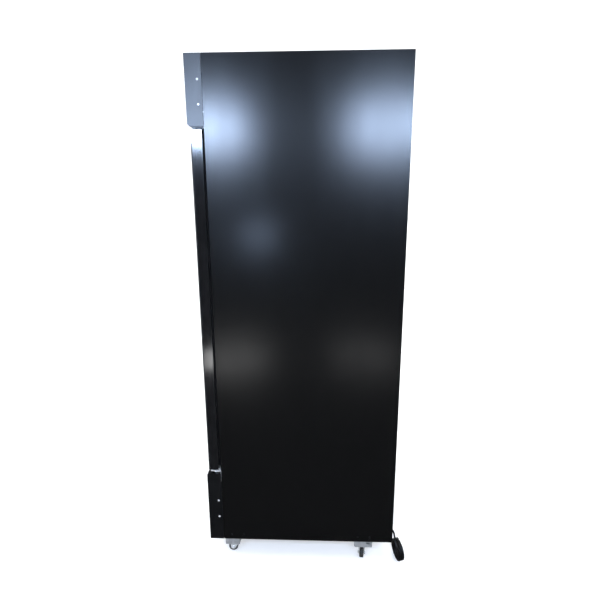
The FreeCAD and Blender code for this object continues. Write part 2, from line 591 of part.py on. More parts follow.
def refrigerant_lines():
    """Return bends at the condenser, the lines between the parts, and the filter drier."""
    r = 4.0
    bends = []
    for side, x in ((1, 102), (-1, -222)):
        for i in range(4):
            z = 150 + 50 * i + (0 if side > 0 else 25)
            ring = Part.Face(Part.Wire(Part.makeCircle(r, V(x, -266, z + 12.5), X)))
            bends.append(ring.revolve(V(x, -266, z), V(0, side, 0), 180))
    c = COMPRESSOR
    front = c.y - COMPRESSOR_R
    hot = [V(c.x, front, 192), V(c.x, front - 39, 192), V(160, -100, 228), V(150, -180, 300),
           V(142, -242, 330), V(130, -266, 332), V(102, -266, 332)]
    x, y = c.x + 20, c.y + 20
    cold = [V(x, y, c.z + 205), V(x, y, c.z + 224), V(x, 140, 368), V(x, 188, 372),
            V(x, 214, 380), V(x, 214, DECK_Z)]
    drier = fuse([rod(11, V(200, -240, 190), V(200, -140, 190)),
                  Part.makeCone(4, 11, 14, V(200, -254, 190), Y),
                  Part.makeCone(11, 4, 14, V(200, -140, 190), Y)])
    thin = [V(200, -126, 190), V(200, -96, 190), V(206, -62, 206), V(236, -40, 262),
            V(250, -30, 336), V(250, -30, DECK_Z)]
    outlet = [V(102, -266, 125), V(126, -266, 125), V(158, -276, 140), V(188, -290, 172),
              V(200, -284, 190), V(200, -254, 190)]
    add("refrigerant_lines", *bends, tube(hot, r, "discharge line"), tube(cold, r, "suction line"),
        drier, tube(thin, 2.5, "liquid line"), tube(outlet, r, "condenser outlet"))


# ---- casters ----
def rounded_front(x0, x1, y0):
    """What a rear bracket loses along its lower front edge."""
    r = CORNER_R
    strip = box(x0 - 1, x1 + 1, y0 - 1, y0 + r, BRACKET_Z - 1, BRACKET_Z + r)
    return strip.cut(rod(r, V(x0 - 2, y0 + r, BRACKET_Z + r), V(x1 + 2, y0 + r, BRACKET_Z + r)))


def caster_bracket(y0, y1, axis_x, axis_y, slotted):
    """A channel under the base pan, open at its ends, with the swivel's race below it."""
    x0, x1, top, t = CHANNEL_X0, CHANNEL_X1, BASE_Z, BRACKET_T
    channel = box(x0, x1, y0, y1, BRACKET_Z, top)
    channel = channel.cut(box(x0 + t, x1 - t, y0 - 1, y1 + 1, BRACKET_Z + t, top - t))
    if slotted:
        channel = channel.cut(rounded_front(x0, x1, y0))
        for wall in (x0, x1 - t):
            ends = [rod(4, V(wall - 1, y1 - d, 80), V(wall + t + 1, y1 - d, 80)) for d in (12, 22)]
            channel = channel.cut(fuse(ends + [box(wall - 1, wall + t + 1, y1 - 22, y1 - 12, 76, 84)]))
    king = V(axis_x, axis_y, 0)
    hole = Part.makeCylinder(KINGPIN_R + RUNNING_GAP, 10, king + Z * (BRACKET_Z - 6))
    race = Part.makeCylinder(20, 5, king + Z * (BRACKET_Z - 5)).cut(hole)
    return [channel.cut(hole), race]


def caster(braked):
    """Fork and wheel about a swivel axis at x = y = 0, trailing towards -Y."""
    axle_y, axle_z = -TRAIL, WHEEL_R
    plate = Part.makeCylinder(21, 2.5, V(0, 0, 52))
    reach = -29 if braked else -22
    outline = ((18, 54), (18, 50), (axle_y + 7, 15), (axle_y - 7, 15), (reach, 40), (reach, 50), (-18, 54))
    side = prism([V(10.2, y, z) for y, z in outline], V(2.3, 0, 0))
    cover = fuse([plate, side, mirrored(side)]).cut(Part.makeCylinder(KINGPIN_R, 10, V(0, 0, 50)))
    cover = cover.cut(box(-30, 30, -40, 30, 54.5, 60))
    pivot = rod(1.5, V(-12.5, -24, 45), V(12.5, -24, 45))
    axle = rod(AXLE_R, V(-13.5, axle_y, axle_z), V(13.5, axle_y, axle_z))
    fork = cover.cut(axle)
    king = fuse([rod(KINGPIN_R, V(0, 0, 50), V(0, 0, 66)), rod(7, V(0, 0, 49.5), V(0, 0, 52)),
                 rod(7, V(0, 0, BRACKET_Z + 2.9), V(0, 0, 66))])
    solids = [fork, axle, king]
    if braked:
        solids = [fork.cut(pivot), axle, king, pivot]
    wheel = rod(WHEEL_R, V(-WHEEL_W / 2, axle_y, axle_z), V(WHEEL_W / 2, axle_y, axle_z))
    wheel = wheel.makeFillet(3, [e for e in wheel.Edges if e.Closed and isinstance(e.Curve, Part.Circle)])
    wheel = wheel.cut(rod(AXLE_R + RUNNING_GAP, V(-20, axle_y, axle_z), V(20, axle_y, axle_z)))
    barrel = rod(3, V(-9.5, -24, 45), V(9.5, -24, 45))
    tread = prism([V(-9.5, -24, 46), V(-9.5, -46, 49), V(-9.5, -46, 51), V(-9.5, -24, 48)], V(19, 0, 0))
    pedal = fuse([barrel, tread]).cut(rod(1.5 + RUNNING_GAP, V(-10, -24, 45), V(10, -24, 45)))
    return solids, wheel, pedal


def placed(shape, heading, way):
    """Turned about +Z at the origin, then moved."""
    return moved(turned(shape, V(0, 0, 0), Z, heading), way)


def casters():
    brackets = []
    for name, (side, axis_x, axis_y, heading, y0, y1) in CASTERS.items():
        braked = name.startswith("front")
        fork, wheel, pedal = caster(braked)
        place = V(side * axis_x, axis_y, 0)
        add("caster_fork_" + name, *[placed(s, heading, place) for s in fork])
        add("caster_wheel_" + name, placed(wheel, heading, place))
        if braked:
            add("brake_pedal_" + name, placed(pedal, heading, place))
        made = caster_bracket(y0, y1, axis_x, axis_y, not braked)
        brackets += made if side > 0 else [mirrored(s) for s in made]
    add("caster_brackets", *brackets)


# ---- supply cord ----
def set_down(what):
    """A vector or a shape at the origin, leant and turned as the coil is."""
    if isinstance(what, V):
        lean, turn = FreeCAD.Rotation(X, COIL_LEAN), FreeCAD.Rotation(Z, COIL_YAW)
        return turn.multVec(lean.multVec(what))
    leant = turned(what, V(0, 0, 0), X, COIL_LEAN)
    return turned(leant, V(0, 0, 0), Z, COIL_YAW)


def coil_frame():
    """The coil's flat directions and its axis: it stands on edge, turned a little and leaning."""
    return [set_down(way) for way in (X, Z, Y)]


def supply_cord():
    r = CORD_D / 2
    side, up, axis = coil_frame()
    half_stack = (COIL_ROWS - 1) / 2 * COIL_PITCH
    thick = 2 * half_stack + CORD_D
    way = V(0, math.cos(EXIT_TILT), -math.sin(EXIT_TILT))
    mouth = EXIT + way * RELIEF_L
    collar = rod(15, V(EXIT.x, COVER_Y, EXIT.z), EXIT)
    neck = rod(11, V(EXIT.x, COVER_Y - 6, EXIT.z), EXIT)
    snout = Part.makeCone(9, 5.5, RELIEF_L + 2, EXIT - way * 2, way)
    cap = box(EXIT.x - 20, EXIT.x + 20, COVER_Y - 20, COVER_Y - 1, EXIT.z - 20, EXIT.z + 20)
    relief = fuse([collar, neck, snout.cut(cap)])
    add("strain_relief", relief)

    first = COIL_CENTRE + side * COIL_R_OUT - axis * half_stack
    lead_in = [mouth, mouth + way * 47, V(329.5, 394.6, 111), V(342, 396.6, 95),
               V(353, 401.5, 84), first + up * 22, first]
    last = COIL_CENTRE - up * COIL_R_OUT + axis * half_stack
    lead_out = [last, last - side * 34, V(236, 403.5, 5.2), V(180, 400.5, 4.6), V(120, 406, 4.6),
                V(60, 412, 4.8), V(14, 409.5, 8.5), PLUG_FACE + V(26, 0, 0), PLUG_FACE]
    add("power_cord", tube(lead_in, r, "cord to the coil"), tube(lead_out, r, "cord to the plug"))

    outer, inner = COIL_R_OUT + r, COIL_R_IN - r
    foot = COIL_CENTRE - axis * (thick / 2)
    ring = Part.makeCylinder(outer, thick, foot, axis)
    add("power_cord_coil", ring.cut(Part.makeCylinder(inner, thick + 2, foot - axis, axis)))

    mid = (outer + inner) / 2
    half_in = V((outer - inner) / 2 + TIE_GAP, thick / 2 + TIE_GAP, TIE_W)
    half_out = V(half_in.x + TIE_T, half_in.y + TIE_T, TIE_W / 2)
    band, room = [box(mid - half.x, mid + half.x, -half.y, half.y, -half.z, half.z)
                  for half in (half_out, half_in)]
    band = turned(band.cut(room), V(0, 0, 0), Y, TIE_ANGLE)
    add("cord_tie", moved(set_down(band), COIL_CENTRE))

    p = PLUG_FACE
    boot = Part.makeCone(6.0, 9, 16, p, V(-1, 0, 0))
    body = box(p.x - 46, p.x - 14, p.y - 14, p.y + 14, p.z - 12.5, p.z + 12.5)
    body = body.makeFillet(5, [e for e in body.Edges if e.BoundBox.XLength > 30])
    blades = [box(p.x - 64, p.x - 45, p.y + d - 0.8, p.y + d + 0.8, p.z - 4, p.z + 2.3)
              for d in (-6.3, 6.3)]
    earth = rod(2.4, V(p.x - 67, p.y, p.z + 7.5), V(p.x - 45, p.y, p.z + 7.5))
    add("power_plug", fuse([boot, body] + blades + [earth]))


def screws(bolts):
    small = [pan_head(at, way) for at, way in facia_screws() + side_foot_screws()]
    add("screws", *small, *bolts)


def build():
    casing()
    base()
    rear_cover()
    cold_box()
    shelf_supports()
    shelves()
    motors = evaporator()
    door()
    bolts = hinge_brackets()
    controls()
    bolts += machine_bay(motors)
    refrigerant_lines()
    casters()
    supply_cord()
    screws(bolts)


def write():
    os.makedirs("parts", exist_ok=True)
    for name, shape in nodes.items():
        if not shape.isValid():
            print("NOT VALID", name)
        shape.exportStep("parts/%s.step" % name)
    box_all = Part.makeCompound(list(nodes.values())).BoundBox
    print(len(nodes), "nodes", box_all)


build()
write()
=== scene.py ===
import json
import math
import bpy
import bmesh
from mathutils import Matrix, Vector


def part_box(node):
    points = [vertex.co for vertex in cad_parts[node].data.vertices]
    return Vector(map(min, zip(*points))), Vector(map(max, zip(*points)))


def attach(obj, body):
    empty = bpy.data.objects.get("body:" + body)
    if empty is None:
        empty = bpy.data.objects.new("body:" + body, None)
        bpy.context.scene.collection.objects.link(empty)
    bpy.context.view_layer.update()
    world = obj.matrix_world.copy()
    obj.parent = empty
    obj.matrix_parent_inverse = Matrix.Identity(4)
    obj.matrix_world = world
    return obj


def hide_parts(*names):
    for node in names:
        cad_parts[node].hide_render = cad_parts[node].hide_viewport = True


# Metres throughout, in the frame's axes: +Z up, -Y to the front with the door, +X to the hinge side.
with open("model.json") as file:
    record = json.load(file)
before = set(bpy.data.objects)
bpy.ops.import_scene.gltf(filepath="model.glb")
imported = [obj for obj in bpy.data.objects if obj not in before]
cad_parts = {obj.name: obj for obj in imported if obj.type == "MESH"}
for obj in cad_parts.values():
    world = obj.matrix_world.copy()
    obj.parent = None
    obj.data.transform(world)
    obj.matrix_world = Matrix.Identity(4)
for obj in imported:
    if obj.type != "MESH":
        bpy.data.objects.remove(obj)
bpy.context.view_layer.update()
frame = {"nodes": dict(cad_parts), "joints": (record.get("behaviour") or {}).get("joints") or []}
NODES = frame["nodes"]

# ---------------------------------------------------------------- places read from the frame
PANEL_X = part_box("side_panel_right")[1].x
PANEL_Z0, PANEL_Z1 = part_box("side_panel_right")[0].z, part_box("side_panel_right")[1].z
BACK_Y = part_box("side_panel_right")[1].y
FRONT_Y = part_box("header_frame")[0].y
COVER_Y = 0.338         # outer face of the cover set into the back of the machine bay


# ---------------------------------------------------------------- camera
def camera():
    """Looks at the hinge side from a standing eye, tilted down; angles in radians."""
    eye = (2.011, 0.0684, 1.539)
    yaw, pitch, roll = -0.0399, 0.2338, -0.0050
    level = math.cos(pitch)
    away = Vector((-level * math.cos(yaw), level * math.sin(yaw), -math.sin(pitch)))
    right = away.cross(Vector((0, 0, 1))).normalized()
    up = right.cross(away)
    side = right * math.cos(roll) + up * math.sin(roll)
    top = up * math.cos(roll) - right * math.sin(roll)
    data = bpy.data.cameras.new("camera")
    data.sensor_width, data.lens = 36.0, 27.86
    data.clip_start, data.clip_end = 0.05, 100
    cam = bpy.data.objects.new("camera", data)
    turn = Matrix((side, top, -away)).transposed().to_4x4()
    cam.matrix_world = Matrix.Translation(eye) @ turn
    bpy.context.scene.collection.objects.link(cam)
    bpy.context.scene.camera = cam


camera()


# ---------------------------------------------------------------- material kit
class Look:
    """One procedural material on a Principled shader, in object space, built up from noise fields."""

    def __init__(self, name, metallic=0.0, roughness=0.5, color=(0.5, 0.5, 0.5), ior_level=0.5):
        self.mat = bpy.data.materials.new(name)
        self.mat.use_nodes = True
        self.tree = self.mat.node_tree
        self.shader = self.tree.nodes["Principled BSDF"]
        self.set("Metallic", metallic)
        self.set("Roughness", roughness)
        self.set("Base Color", (*color, 1))
        self.set("Specular IOR Level", ior_level)
        self.mat.diffuse_color = (*color, 1)
        self.where = self.tree.nodes.new("ShaderNodeTexCoord").outputs["Object"]
        self.height = None

    def set(self, name, value):
        self.shader.inputs[name].default_value = value
        return self

    def join(self, name, socket):
        self.tree.links.new(socket, self.shader.inputs[name])
        return self

    def node(self, kind, **inputs):
        made = self.tree.nodes.new(kind)
        for name, value in inputs.items():
            made.inputs[name.replace("_", " ")].default_value = value
        return made

    def space(self, stretch):
        if stretch == (1, 1, 1):
            return self.where
        mapping = self.node("ShaderNodeMapping")
        mapping.inputs["Scale"].default_value = stretch
        self.tree.links.new(self.where, mapping.inputs["Vector"])
        return mapping.outputs["Vector"]

    def noise(self, scale, detail=3.0, stretch=(1, 1, 1), roughness=0.5):
        made = self.node("ShaderNodeTexNoise", Scale=scale, Detail=detail, Roughness=roughness)
        self.tree.links.new(self.space(stretch), made.inputs["Vector"])
        return made.outputs["Fac"]

    def cells(self, scale, stretch=(1, 1, 1), output="Distance", feature="F1"):
        made = self.node("ShaderNodeTexVoronoi", Scale=scale)
        made.feature = feature
        self.tree.links.new(self.space(stretch), made.inputs["Vector"])
        return made.outputs[output]

    def waves(self, scale, direction="X", distortion=0.0):
        made = self.node("ShaderNodeTexWave", Scale=scale, Distortion=distortion)
        made.bands_direction = direction
        self.tree.links.new(self.where, made.inputs["Vector"])
        return made.outputs["Fac"]

    def span(self, socket, low, high, start=0.0, end=1.0):
        """A field brought from start..end to low..high, clamped."""
        made = self.node("ShaderNodeMapRange")
        made.inputs["From Min"].default_value = start
        made.inputs["From Max"].default_value = end
        made.inputs["To Min"].default_value = low
        made.inputs["To Max"].default_value = high
        self.tree.links.new(socket, made.inputs["Value"])
        return made.outputs["Result"]

    def combine(self, a, b, operation="ADD"):
        """Two fields, or a field and a number, put together by a math operation."""
        made = self.node("ShaderNodeMath")
        made.operation = operation
        for slot, value in zip(made.inputs, (a, b)):
            if isinstance(value, (int, float)):
                slot.default_value = value
            else:
                self.tree.links.new(value, slot)
        return made.outputs["Value"]

    def colors(self, socket, *stops):
        """A field turned to colour by (place, (r, g, b)) stops."""
        made = self.tree.nodes.new("ShaderNodeValToRGB")
        ramp = made.color_ramp
        while len(ramp.elements) < len(stops):
            ramp.elements.new(1.0)
        for element, (place, color) in zip(ramp.elements, stops):
            element.position = place
            element.color = (*color, 1)
        self.tree.links.new(socket, made.inputs["Fac"])
        return made.outputs["Color"]

    def paint(self, socket):
        return self.join("Base Color", socket)

    def bump(self, socket, depth, strength=1.0):
        """Relief, depth in metres; several calls pile up."""
        made = self.node("ShaderNodeBump", Strength=strength, Distance=depth)
        self.tree.links.new(socket, made.inputs["Height"])
        if self.height is not None:
            self.tree.links.new(self.height, made.inputs["Normal"])
        self.height = made.outputs["Normal"]
        return self.join("Normal", self.height)

    def glow(self, color, strength):
        self.set("Emission Color", (*color, 1))
        return self.set("Emission Strength", strength)


# ---------------------------------------------------------------- materials
def satin_black_paint():
    """Powder coat: fine orange peel, slow changes of gloss, faint rubbed marks and specks of dust."""
    look = Look("satin_black_paint", roughness=0.235, color=(0.0025, 0.0025, 0.0026), ior_level=0.42)
    slow = look.noise(2.2, 4)
    rubbed = look.noise(9, 6, (1, 1.0, 0.18))
    gloss = look.combine(look.span(slow, -0.012, 0.015), look.span(rubbed, 0.222, 0.250, 0.3, 0.7))
    look.join("Roughness", gloss)
    dust = look.span(look.noise(620, 2), 0, 1, 0.71, 0.78)
    patch = look.span(look.noise(3.1, 3), 0, 1, 0.45, 0.7)
    specks = look.combine(dust, patch, "MULTIPLY")
    look.paint(look.colors(specks, (0.0, (0.0022, 0.0022, 0.0023)), (1.0, (0.022, 0.023, 0.025))))
    look.bump(look.noise(520, 2), 0.00006, 0.35)
    return look.bump(look.noise(3.5, 2), 0.0012, 0.05).mat


def black_facia_paint(name, ior_level):
    """The same powder coat on the folded facias, a little duller."""
    look = Look(name, roughness=0.38, color=(0.003, 0.0032, 0.0035), ior_level=ior_level)
    look.join("Roughness", look.span(look.noise(14, 5), 0.33, 0.43))
    look.paint(look.colors(look.noise(7, 4), (0.3, (0.0024, 0.0026, 0.003)), (0.8, (0.0050, 0.0052, 0.0058))))
    return look.bump(look.noise(480, 2), 0.00007, 0.4).mat


def gloss_black_frame():
    """Anodised and lacquered door extrusion: draw lines along its length."""
    look = Look("gloss_black_frame", roughness=0.11, color=(0.006, 0.006, 0.0065), ior_level=0.6)
    lines = look.noise(60, 3, (9, 9, 0.05))
    look.join("Roughness", look.span(lines, 0.09, 0.15, 0.35, 0.65))
    look.paint(look.colors(look.noise(24, 3), (0.3, (0.0025, 0.0025, 0.003)), (0.8, (0.006, 0.006, 0.0065))))
    look.set("Coat Weight", 0.35)
    look.set("Coat Roughness", 0.08)
    return look.bump(lines, 0.00005, 0.3).mat


def galvanised_steel():
    """Hot-dip zinc: a spangle of crystals, each with its own grey and gloss, dulled in patches."""
    look = Look("galvanised_steel", metallic=0.6, roughness=0.38, color=(0.55, 0.57, 0.59))
    spangle = look.cells(95, output="Color")
    grey = look.node("ShaderNodeRGBToBW")
    look.tree.links.new(spangle, grey.inputs["Color"])
    shade = grey.outputs["Val"]
    look.paint(look.colors(shade, (0.1, (0.36, 0.37, 0.38)), (0.5, (0.42, 0.43, 0.44)),
                           (0.9, (0.47, 0.48, 0.49))))
    bloom = look.noise(22, 5)
    gloss = look.combine(look.span(shade, -0.03, 0.03), look.span(bloom, 0.34, 0.48, 0.3, 0.75))
    look.join("Roughness", gloss)
    look.bump(shade, 0.00006, 0.35)
    return look.bump(look.noise(260, 4), 0.00005, 0.3).mat


def zinc_plate():
    """Bright zinc plating on the casters, with a thin yellow and blue tint."""
    look = Look("zinc_plate", metallic=0.55, roughness=0.28, color=(0.62, 0.63, 0.64))
    tint = look.noise(46, 4)
    look.paint(look.colors(tint, (0.32, (0.58, 0.62, 0.66)), (0.5, (0.72, 0.73, 0.73)),
                           (0.7, (0.72, 0.69, 0.60))))
    look.join("Roughness", look.span(look.noise(120, 6), 0.2, 0.42, 0.35, 0.7))
    return look.bump(look.noise(700, 2), 0.00003, 0.4).mat


def hinge_metal():
    """Zinc on the lower hinge bracket and its closing rod, black paint on the upper one."""
    split_z = 1.0
    look = Look("hinge_metal", metallic=0.55, roughness=0.28, color=(0.62, 0.63, 0.64))
    place = look.tree.nodes.new("ShaderNodeSeparateXYZ")
    look.tree.links.new(look.where, place.inputs["Vector"])
    upper = look.span(place.outputs["Z"], 0, 1, split_z, split_z + 0.01)
    bright = look.span(look.noise(46, 4), 0.64, 0.78, 0.3, 0.7)
    shade = look.combine(bright, look.span(upper, 1.0, 0.006), "MULTIPLY")
    look.paint(shade)
    look.join("Metallic", look.span(upper, 0.55, 0.0))
    look.join("Roughness", look.span(look.noise(120, 6), 0.22, 0.42, 0.35, 0.7))
    return look.bump(look.noise(700, 2), 0.00003, 0.4).mat


def turned_steel():
    """Screws, axles and pins: bright, with fine turning marks."""
    look = Look("turned_steel", metallic=0.5, roughness=0.24, color=(0.72, 0.73, 0.74))
    look.join("Roughness", look.span(look.noise(400, 4), 0.16, 0.34))
    look.paint(look.colors(look.noise(150, 3), (0.3, (0.72, 0.73, 0.74)), (0.75, (0.88, 0.88, 0.88))))
    return look.bump(look.waves(900, "Z", 2), 0.00002, 0.3).mat


def white_liner():
    """Coil-coated inner liner with a faint stucco emboss."""
    look = Look("white_liner", roughness=0.4, color=(0.82, 0.83, 0.84))
    look.paint(look.colors(look.noise(6, 4), (0.3, (0.79, 0.80, 0.81)), (0.7, (0.86, 0.87, 0.88))))
    look.join("Roughness", look.span(look.noise(30, 4), 0.33, 0.47))
    return look.bump(look.cells(170, feature="SMOOTH_F1"), 0.00025, 0.35).mat


def white_shelf_coat():
    """Thick dipped coating on wire."""
    look = Look("white_shelf_coat", roughness=0.3, color=(0.86, 0.87, 0.87))
    look.paint(look.colors(look.noise(35, 3), (0.3, (0.80, 0.81, 0.81)), (0.7, (0.89, 0.90, 0.90))))
    look.set("Coat Weight", 0.4)
    return look.bump(look.noise(300, 2), 0.00008, 0.4).mat


def clear_glass(name, tint):
    """Float glass, with the faintest smears and waviness."""
    look = Look(name, roughness=0.0, color=tint)
    look.set("Transmission Weight", 0.96)
    look.set("IOR", 1.5)
    look.join("Roughness", look.span(look.noise(5, 5), 0.0, 0.02, 0.45, 0.8))
    return look.bump(look.noise(2.0, 1), 0.0004, 0.02).mat


def black_rubber(name="black_rubber", shade=0.010, rough=0.62):
    """Matt black rubber, vinyl or paper, unevenly dulled."""
    look = Look(name, roughness=rough, color=(shade, shade, shade))
    look.paint(look.colors(look.noise(60, 5), (0.3, (shade * 0.7,) * 3), (0.8, (shade * 1.9,) * 3)))
    look.join("Roughness", look.span(look.noise(110, 4), rough - 0.1, rough + 0.1))
    return look.bump(look.noise(900, 3), 0.00006, 0.5).mat


def caster_tyre():
    """Worn tread, scuffed and dusty in patches."""
    look = Look("caster_tyre", roughness=0.55, color=(0.016, 0.016, 0.016))
    dust = look.noise(70, 6)
    look.paint(look.colors(dust, (0.35, (0.010, 0.010, 0.010)), (0.6, (0.022, 0.021, 0.020)),
                           (0.8, (0.10, 0.095, 0.085))))
    look.join("Roughness", look.span(dust, 0.45, 0.75, 0.3, 0.8))
    return look.bump(look.noise(420, 5), 0.00015, 0.6).mat


def cord_jacket():
    """Supple black mains jacket with a soft sheen and small moulding ripples."""
    look = Look("cord_jacket", roughness=0.34, color=(0.004, 0.004, 0.004), ior_level=0.35)
    look.join("Roughness", look.span(look.noise(90, 4), 0.28, 0.44))
    look.paint(look.colors(look.noise(30, 3), (0.3, (0.0025, 0.0025, 0.0028)), (0.8, (0.006, 0.006, 0.0064))))
    return look.bump(look.noise(600, 3), 0.00005, 0.5).mat


def moulded_black(name="moulded_black", rough=0.45, shade=0.012):
    """Injection-moulded plastic with a spark-eroded grain."""
    look = Look(name, roughness=rough, color=(shade, shade, shade))
    look.paint(look.colors(look.noise(18, 3), (0.3, (shade * 0.8,) * 3), (0.8, (shade * 1.3,) * 3)))
    look.join("Roughness", look.span(look.noise(1400, 2), rough - 0.08, rough + 0.1, 0.3, 0.7))
    return look.bump(look.noise(1500, 2), 0.00004, 0.6).mat


def fin_metal():
    """Aluminium fins, finely ridged across."""
    look = Look("fin_metal", metallic=1.0, roughness=0.34, color=(0.72, 0.74, 0.75))
    look.paint(look.colors(look.noise(26, 5), (0.3, (0.58, 0.60, 0.61)), (0.75, (0.78, 0.79, 0.80))))
    look.join("Roughness", look.span(look.noise(80, 4), 0.26, 0.46))
    return look.bump(look.waves(60, "Z"), 0.0002, 0.3).mat


def copper_tube():
    """Copper, tarnished in patches."""
    look = Look("copper_tube", metallic=1.0, roughness=0.3, color=(0.78, 0.40, 0.24))
    tarnish = look.noise(40, 5)
    look.paint(look.colors(tarnish, (0.35, (0.80, 0.42, 0.26)), (0.6, (0.55, 0.26, 0.15)),
                           (0.8, (0.24, 0.13, 0.09))))
    look.join("Roughness", look.span(tarnish, 0.2, 0.5, 0.3, 0.8))
    return look.bump(look.noise(300, 3), 0.00005, 0.3).mat


def compressor_paint():
    """Thick black enamel on a pressed shell."""
    look = Look("compressor_paint", roughness=0.3, color=(0.008, 0.008, 0.009))
    look.paint(look.colors(look.noise(14, 5), (0.3, (0.006, 0.006, 0.007)), (0.8, (0.020, 0.020, 0.021))))
    look.join("Roughness", look.span(look.noise(40, 4), 0.22, 0.5))
    look.set("Coat Weight", 0.3)
    return look.bump(look.noise(180, 4), 0.0002, 0.5).mat


def blown_foam():
    """Yellow foam with its cells showing."""
    look = Look("blown_foam", roughness=0.9, color=(0.80, 0.68, 0.40))
    look.paint(look.colors(look.noise(40, 6), (0.3, (0.70, 0.56, 0.30)), (0.75, (0.86, 0.76, 0.50))))
    return look.bump(look.cells(350), 0.0006, 0.7).mat


def lit_diffuser(name, color, strength, shade=0.9):
    """Opal plastic with light behind it."""
    look = Look(name, roughness=0.32, color=(shade, shade, shade * 0.98))
    look.paint(look.colors(look.noise(10, 3), (0.3, (shade * 0.95,) * 3), (0.7, (shade * 1.03,) * 3)))
    look.glow(color, strength)
    return look.bump(look.noise(700, 2), 0.00005, 0.3).mat


def grey_plastic():
    """Grained grey plastic of the drain pan and the wheel hubs."""
    look = Look("grey_plastic", roughness=0.5, color=(0.32, 0.33, 0.34))
    look.paint(look.colors(look.noise(20, 4), (0.3, (0.28, 0.29, 0.30)), (0.8, (0.38, 0.39, 0.40))))
    look.join("Roughness", look.span(look.noise(60, 4), 0.4, 0.6))
    return look.bump(look.noise(800, 2), 0.00005, 0.4).mat


def printed(name, color, glow=0.0, ior_level=0.5):
    """Thin matt print of one colour, lit from behind where it glows."""
    look = Look(name, roughness=0.5, color=color, ior_level=ior_level)
    dark = tuple(c * 0.85 for c in color)
    look.paint(look.colors(look.noise(300, 3), (0.3, dark), (0.7, color)))
    if glow:
        look.glow(color, glow)
    return look.bump(look.noise(900, 2), 0.00002, 0.3).mat


PAINT = satin_black_paint()
FACIA = black_facia_paint("header_paint", 0.85)
GRILLE = black_facia_paint("grille_paint", 0.22)
FRAME = gloss_black_frame()
ZINC = galvanised_steel()
PLATED = zinc_plate()
HINGE = hinge_metal()
STEEL = turned_steel()
LINER = white_liner()
SHELF = white_shelf_coat()
OUTER_GLASS = clear_glass("outer_glass", (0.965, 0.985, 0.975))
INNER_GLASS = clear_glass("inner_glass", (0.98, 0.99, 0.985))
RUBBER = black_rubber()
SEAL = black_rubber("seal_vinyl", 0.014, 0.48)
TYRE = caster_tyre()
JACKET = cord_jacket()
PLASTIC = moulded_black()
SMOOTH_PLASTIC = moulded_black("smooth_black_plastic", 0.3, 0.010)
FINS = fin_metal()
COPPER = copper_tube()
SHELL = compressor_paint()
FOAM = blown_foam()
LAMP = lit_diffuser("lamp_diffuser", (0.92, 0.96, 1.0), 3.0)
SIGN = lit_diffuser("sign_acrylic", (0.95, 0.97, 1.0), 0.03, 0.36)
GREY = grey_plastic()
FRIT = printed("black_frit", (0.002, 0.002, 0.002), ior_level=0.0)
SPACER = printed("spacer_grey", (0.42, 0.43, 0.44))
MARK = printed("white_print", (0.75, 0.75, 0.75))
DIGITS = printed("display_red", (0.9, 0.05, 0.02), 1.5)
SCREEN = printed("display_window", (0.004, 0.002, 0.002))
TIE = black_rubber("tie_paper", 0.03, 0.8)

CORNERS = ("front_left", "front_right", "rear_left", "rear_right")
FINISHES = {
    PAINT: ["side_panel_left", "side_panel_right", "top_panel"],
    FACIA: ["header_frame"],
    GRILLE: ["lower_grille", "facia_brackets"],
    FRAME: ["door_hinge_stile", "door_handle_stile", "door_rails"],
    ZINC: ["back_panel", "rear_cover", "base_pan", "caster_brackets", "shelf_supports"],
    HINGE: ["hinge_brackets"],
    PLATED: ["caster_fork_" + c for c in CORNERS] + ["brake_pedal_front_left", "brake_pedal_front_right"],
    LINER: ["liner", "evaporator_housing"],
    SHELF: ["shelves"],
    OUTER_GLASS: ["door_outer_glass"],
    INNER_GLASS: ["door_inner_glass"],
    SPACER: ["door_glass_spacer"],
    SEAL: ["door_gasket"],
    RUBBER: ["compressor_mounts"],
    TYRE: ["caster_wheel_" + c for c in CORNERS],
    PLASTIC: ["front_frame", "control_housing", "junction_boxes", "strain_relief", "fan_motors", "fan_shroud",
              "door_bushes", "evaporator_fan", "condenser_fan", "power_plug"],
    SMOOTH_PLASTIC: ["button_set", "button_up", "button_down", "lamp_rocker"],
    FINS: ["evaporator_coil", "condenser_coil"],
    COPPER: ["refrigerant_lines"],
    SHELL: ["compressor"],
    FOAM: ["insulation"],
    LAMP: ["header_lamp", "interior_lamp"],
    SIGN: ["sign_panel"],
    GREY: ["drain_pan"],
    TIE: ["cord_tie"],
    JACKET: ["power_cord", "power_cord_coil"],
    STEEL: ["screws"],
}


def dress(obj, finish):
    """Gives an object one material and no other."""
    obj.data.materials.clear()
    obj.data.materials.append(finish)


for finish, names in FINISHES.items():
    for name in names:
        dress(NODES[name], finish)


# ---------------------------------------------------------------- folded and machined edges
def ease(name, width, angle=40, segments=2):
    """Rounds a CAD node's sharp edges, as bent sheet and moulded parts have them."""
    bevel = NODES[name].modifiers.new("edges", "BEVEL")
    bevel.width, bevel.segments = width, segments
    bevel.limit_method, bevel.angle_limit = "ANGLE", math.radians(angle)
    bevel.harden_normals = True


EDGE_WIDTHS = {
    "side_panel_left": 0.0004, "side_panel_right": 0.0004, "top_panel": 0.0004, "header_frame": 0.0004,
    "lower_grille": 0.0004, "back_panel": 0.0003, "base_pan": 0.0004, "rear_cover": 0.0003,
    "caster_brackets": 0.0006, "door_hinge_stile": 0.0008, "door_handle_stile": 0.0008, "door_rails": 0.0008,
    "door_outer_glass": 0.0008, "door_inner_glass": 0.0005, "sign_panel": 0.0006, "control_housing": 0.0005,
    "hinge_brackets": 0.0004, "facia_brackets": 0.0004, "junction_boxes": 0.002, "drain_pan": 0.0006,
}
for name, width in EDGE_WIDTHS.items():
    ease(name, width)


# ---------------------------------------------------------------- mesh kit
SHARP_ANGLE = math.radians(38)


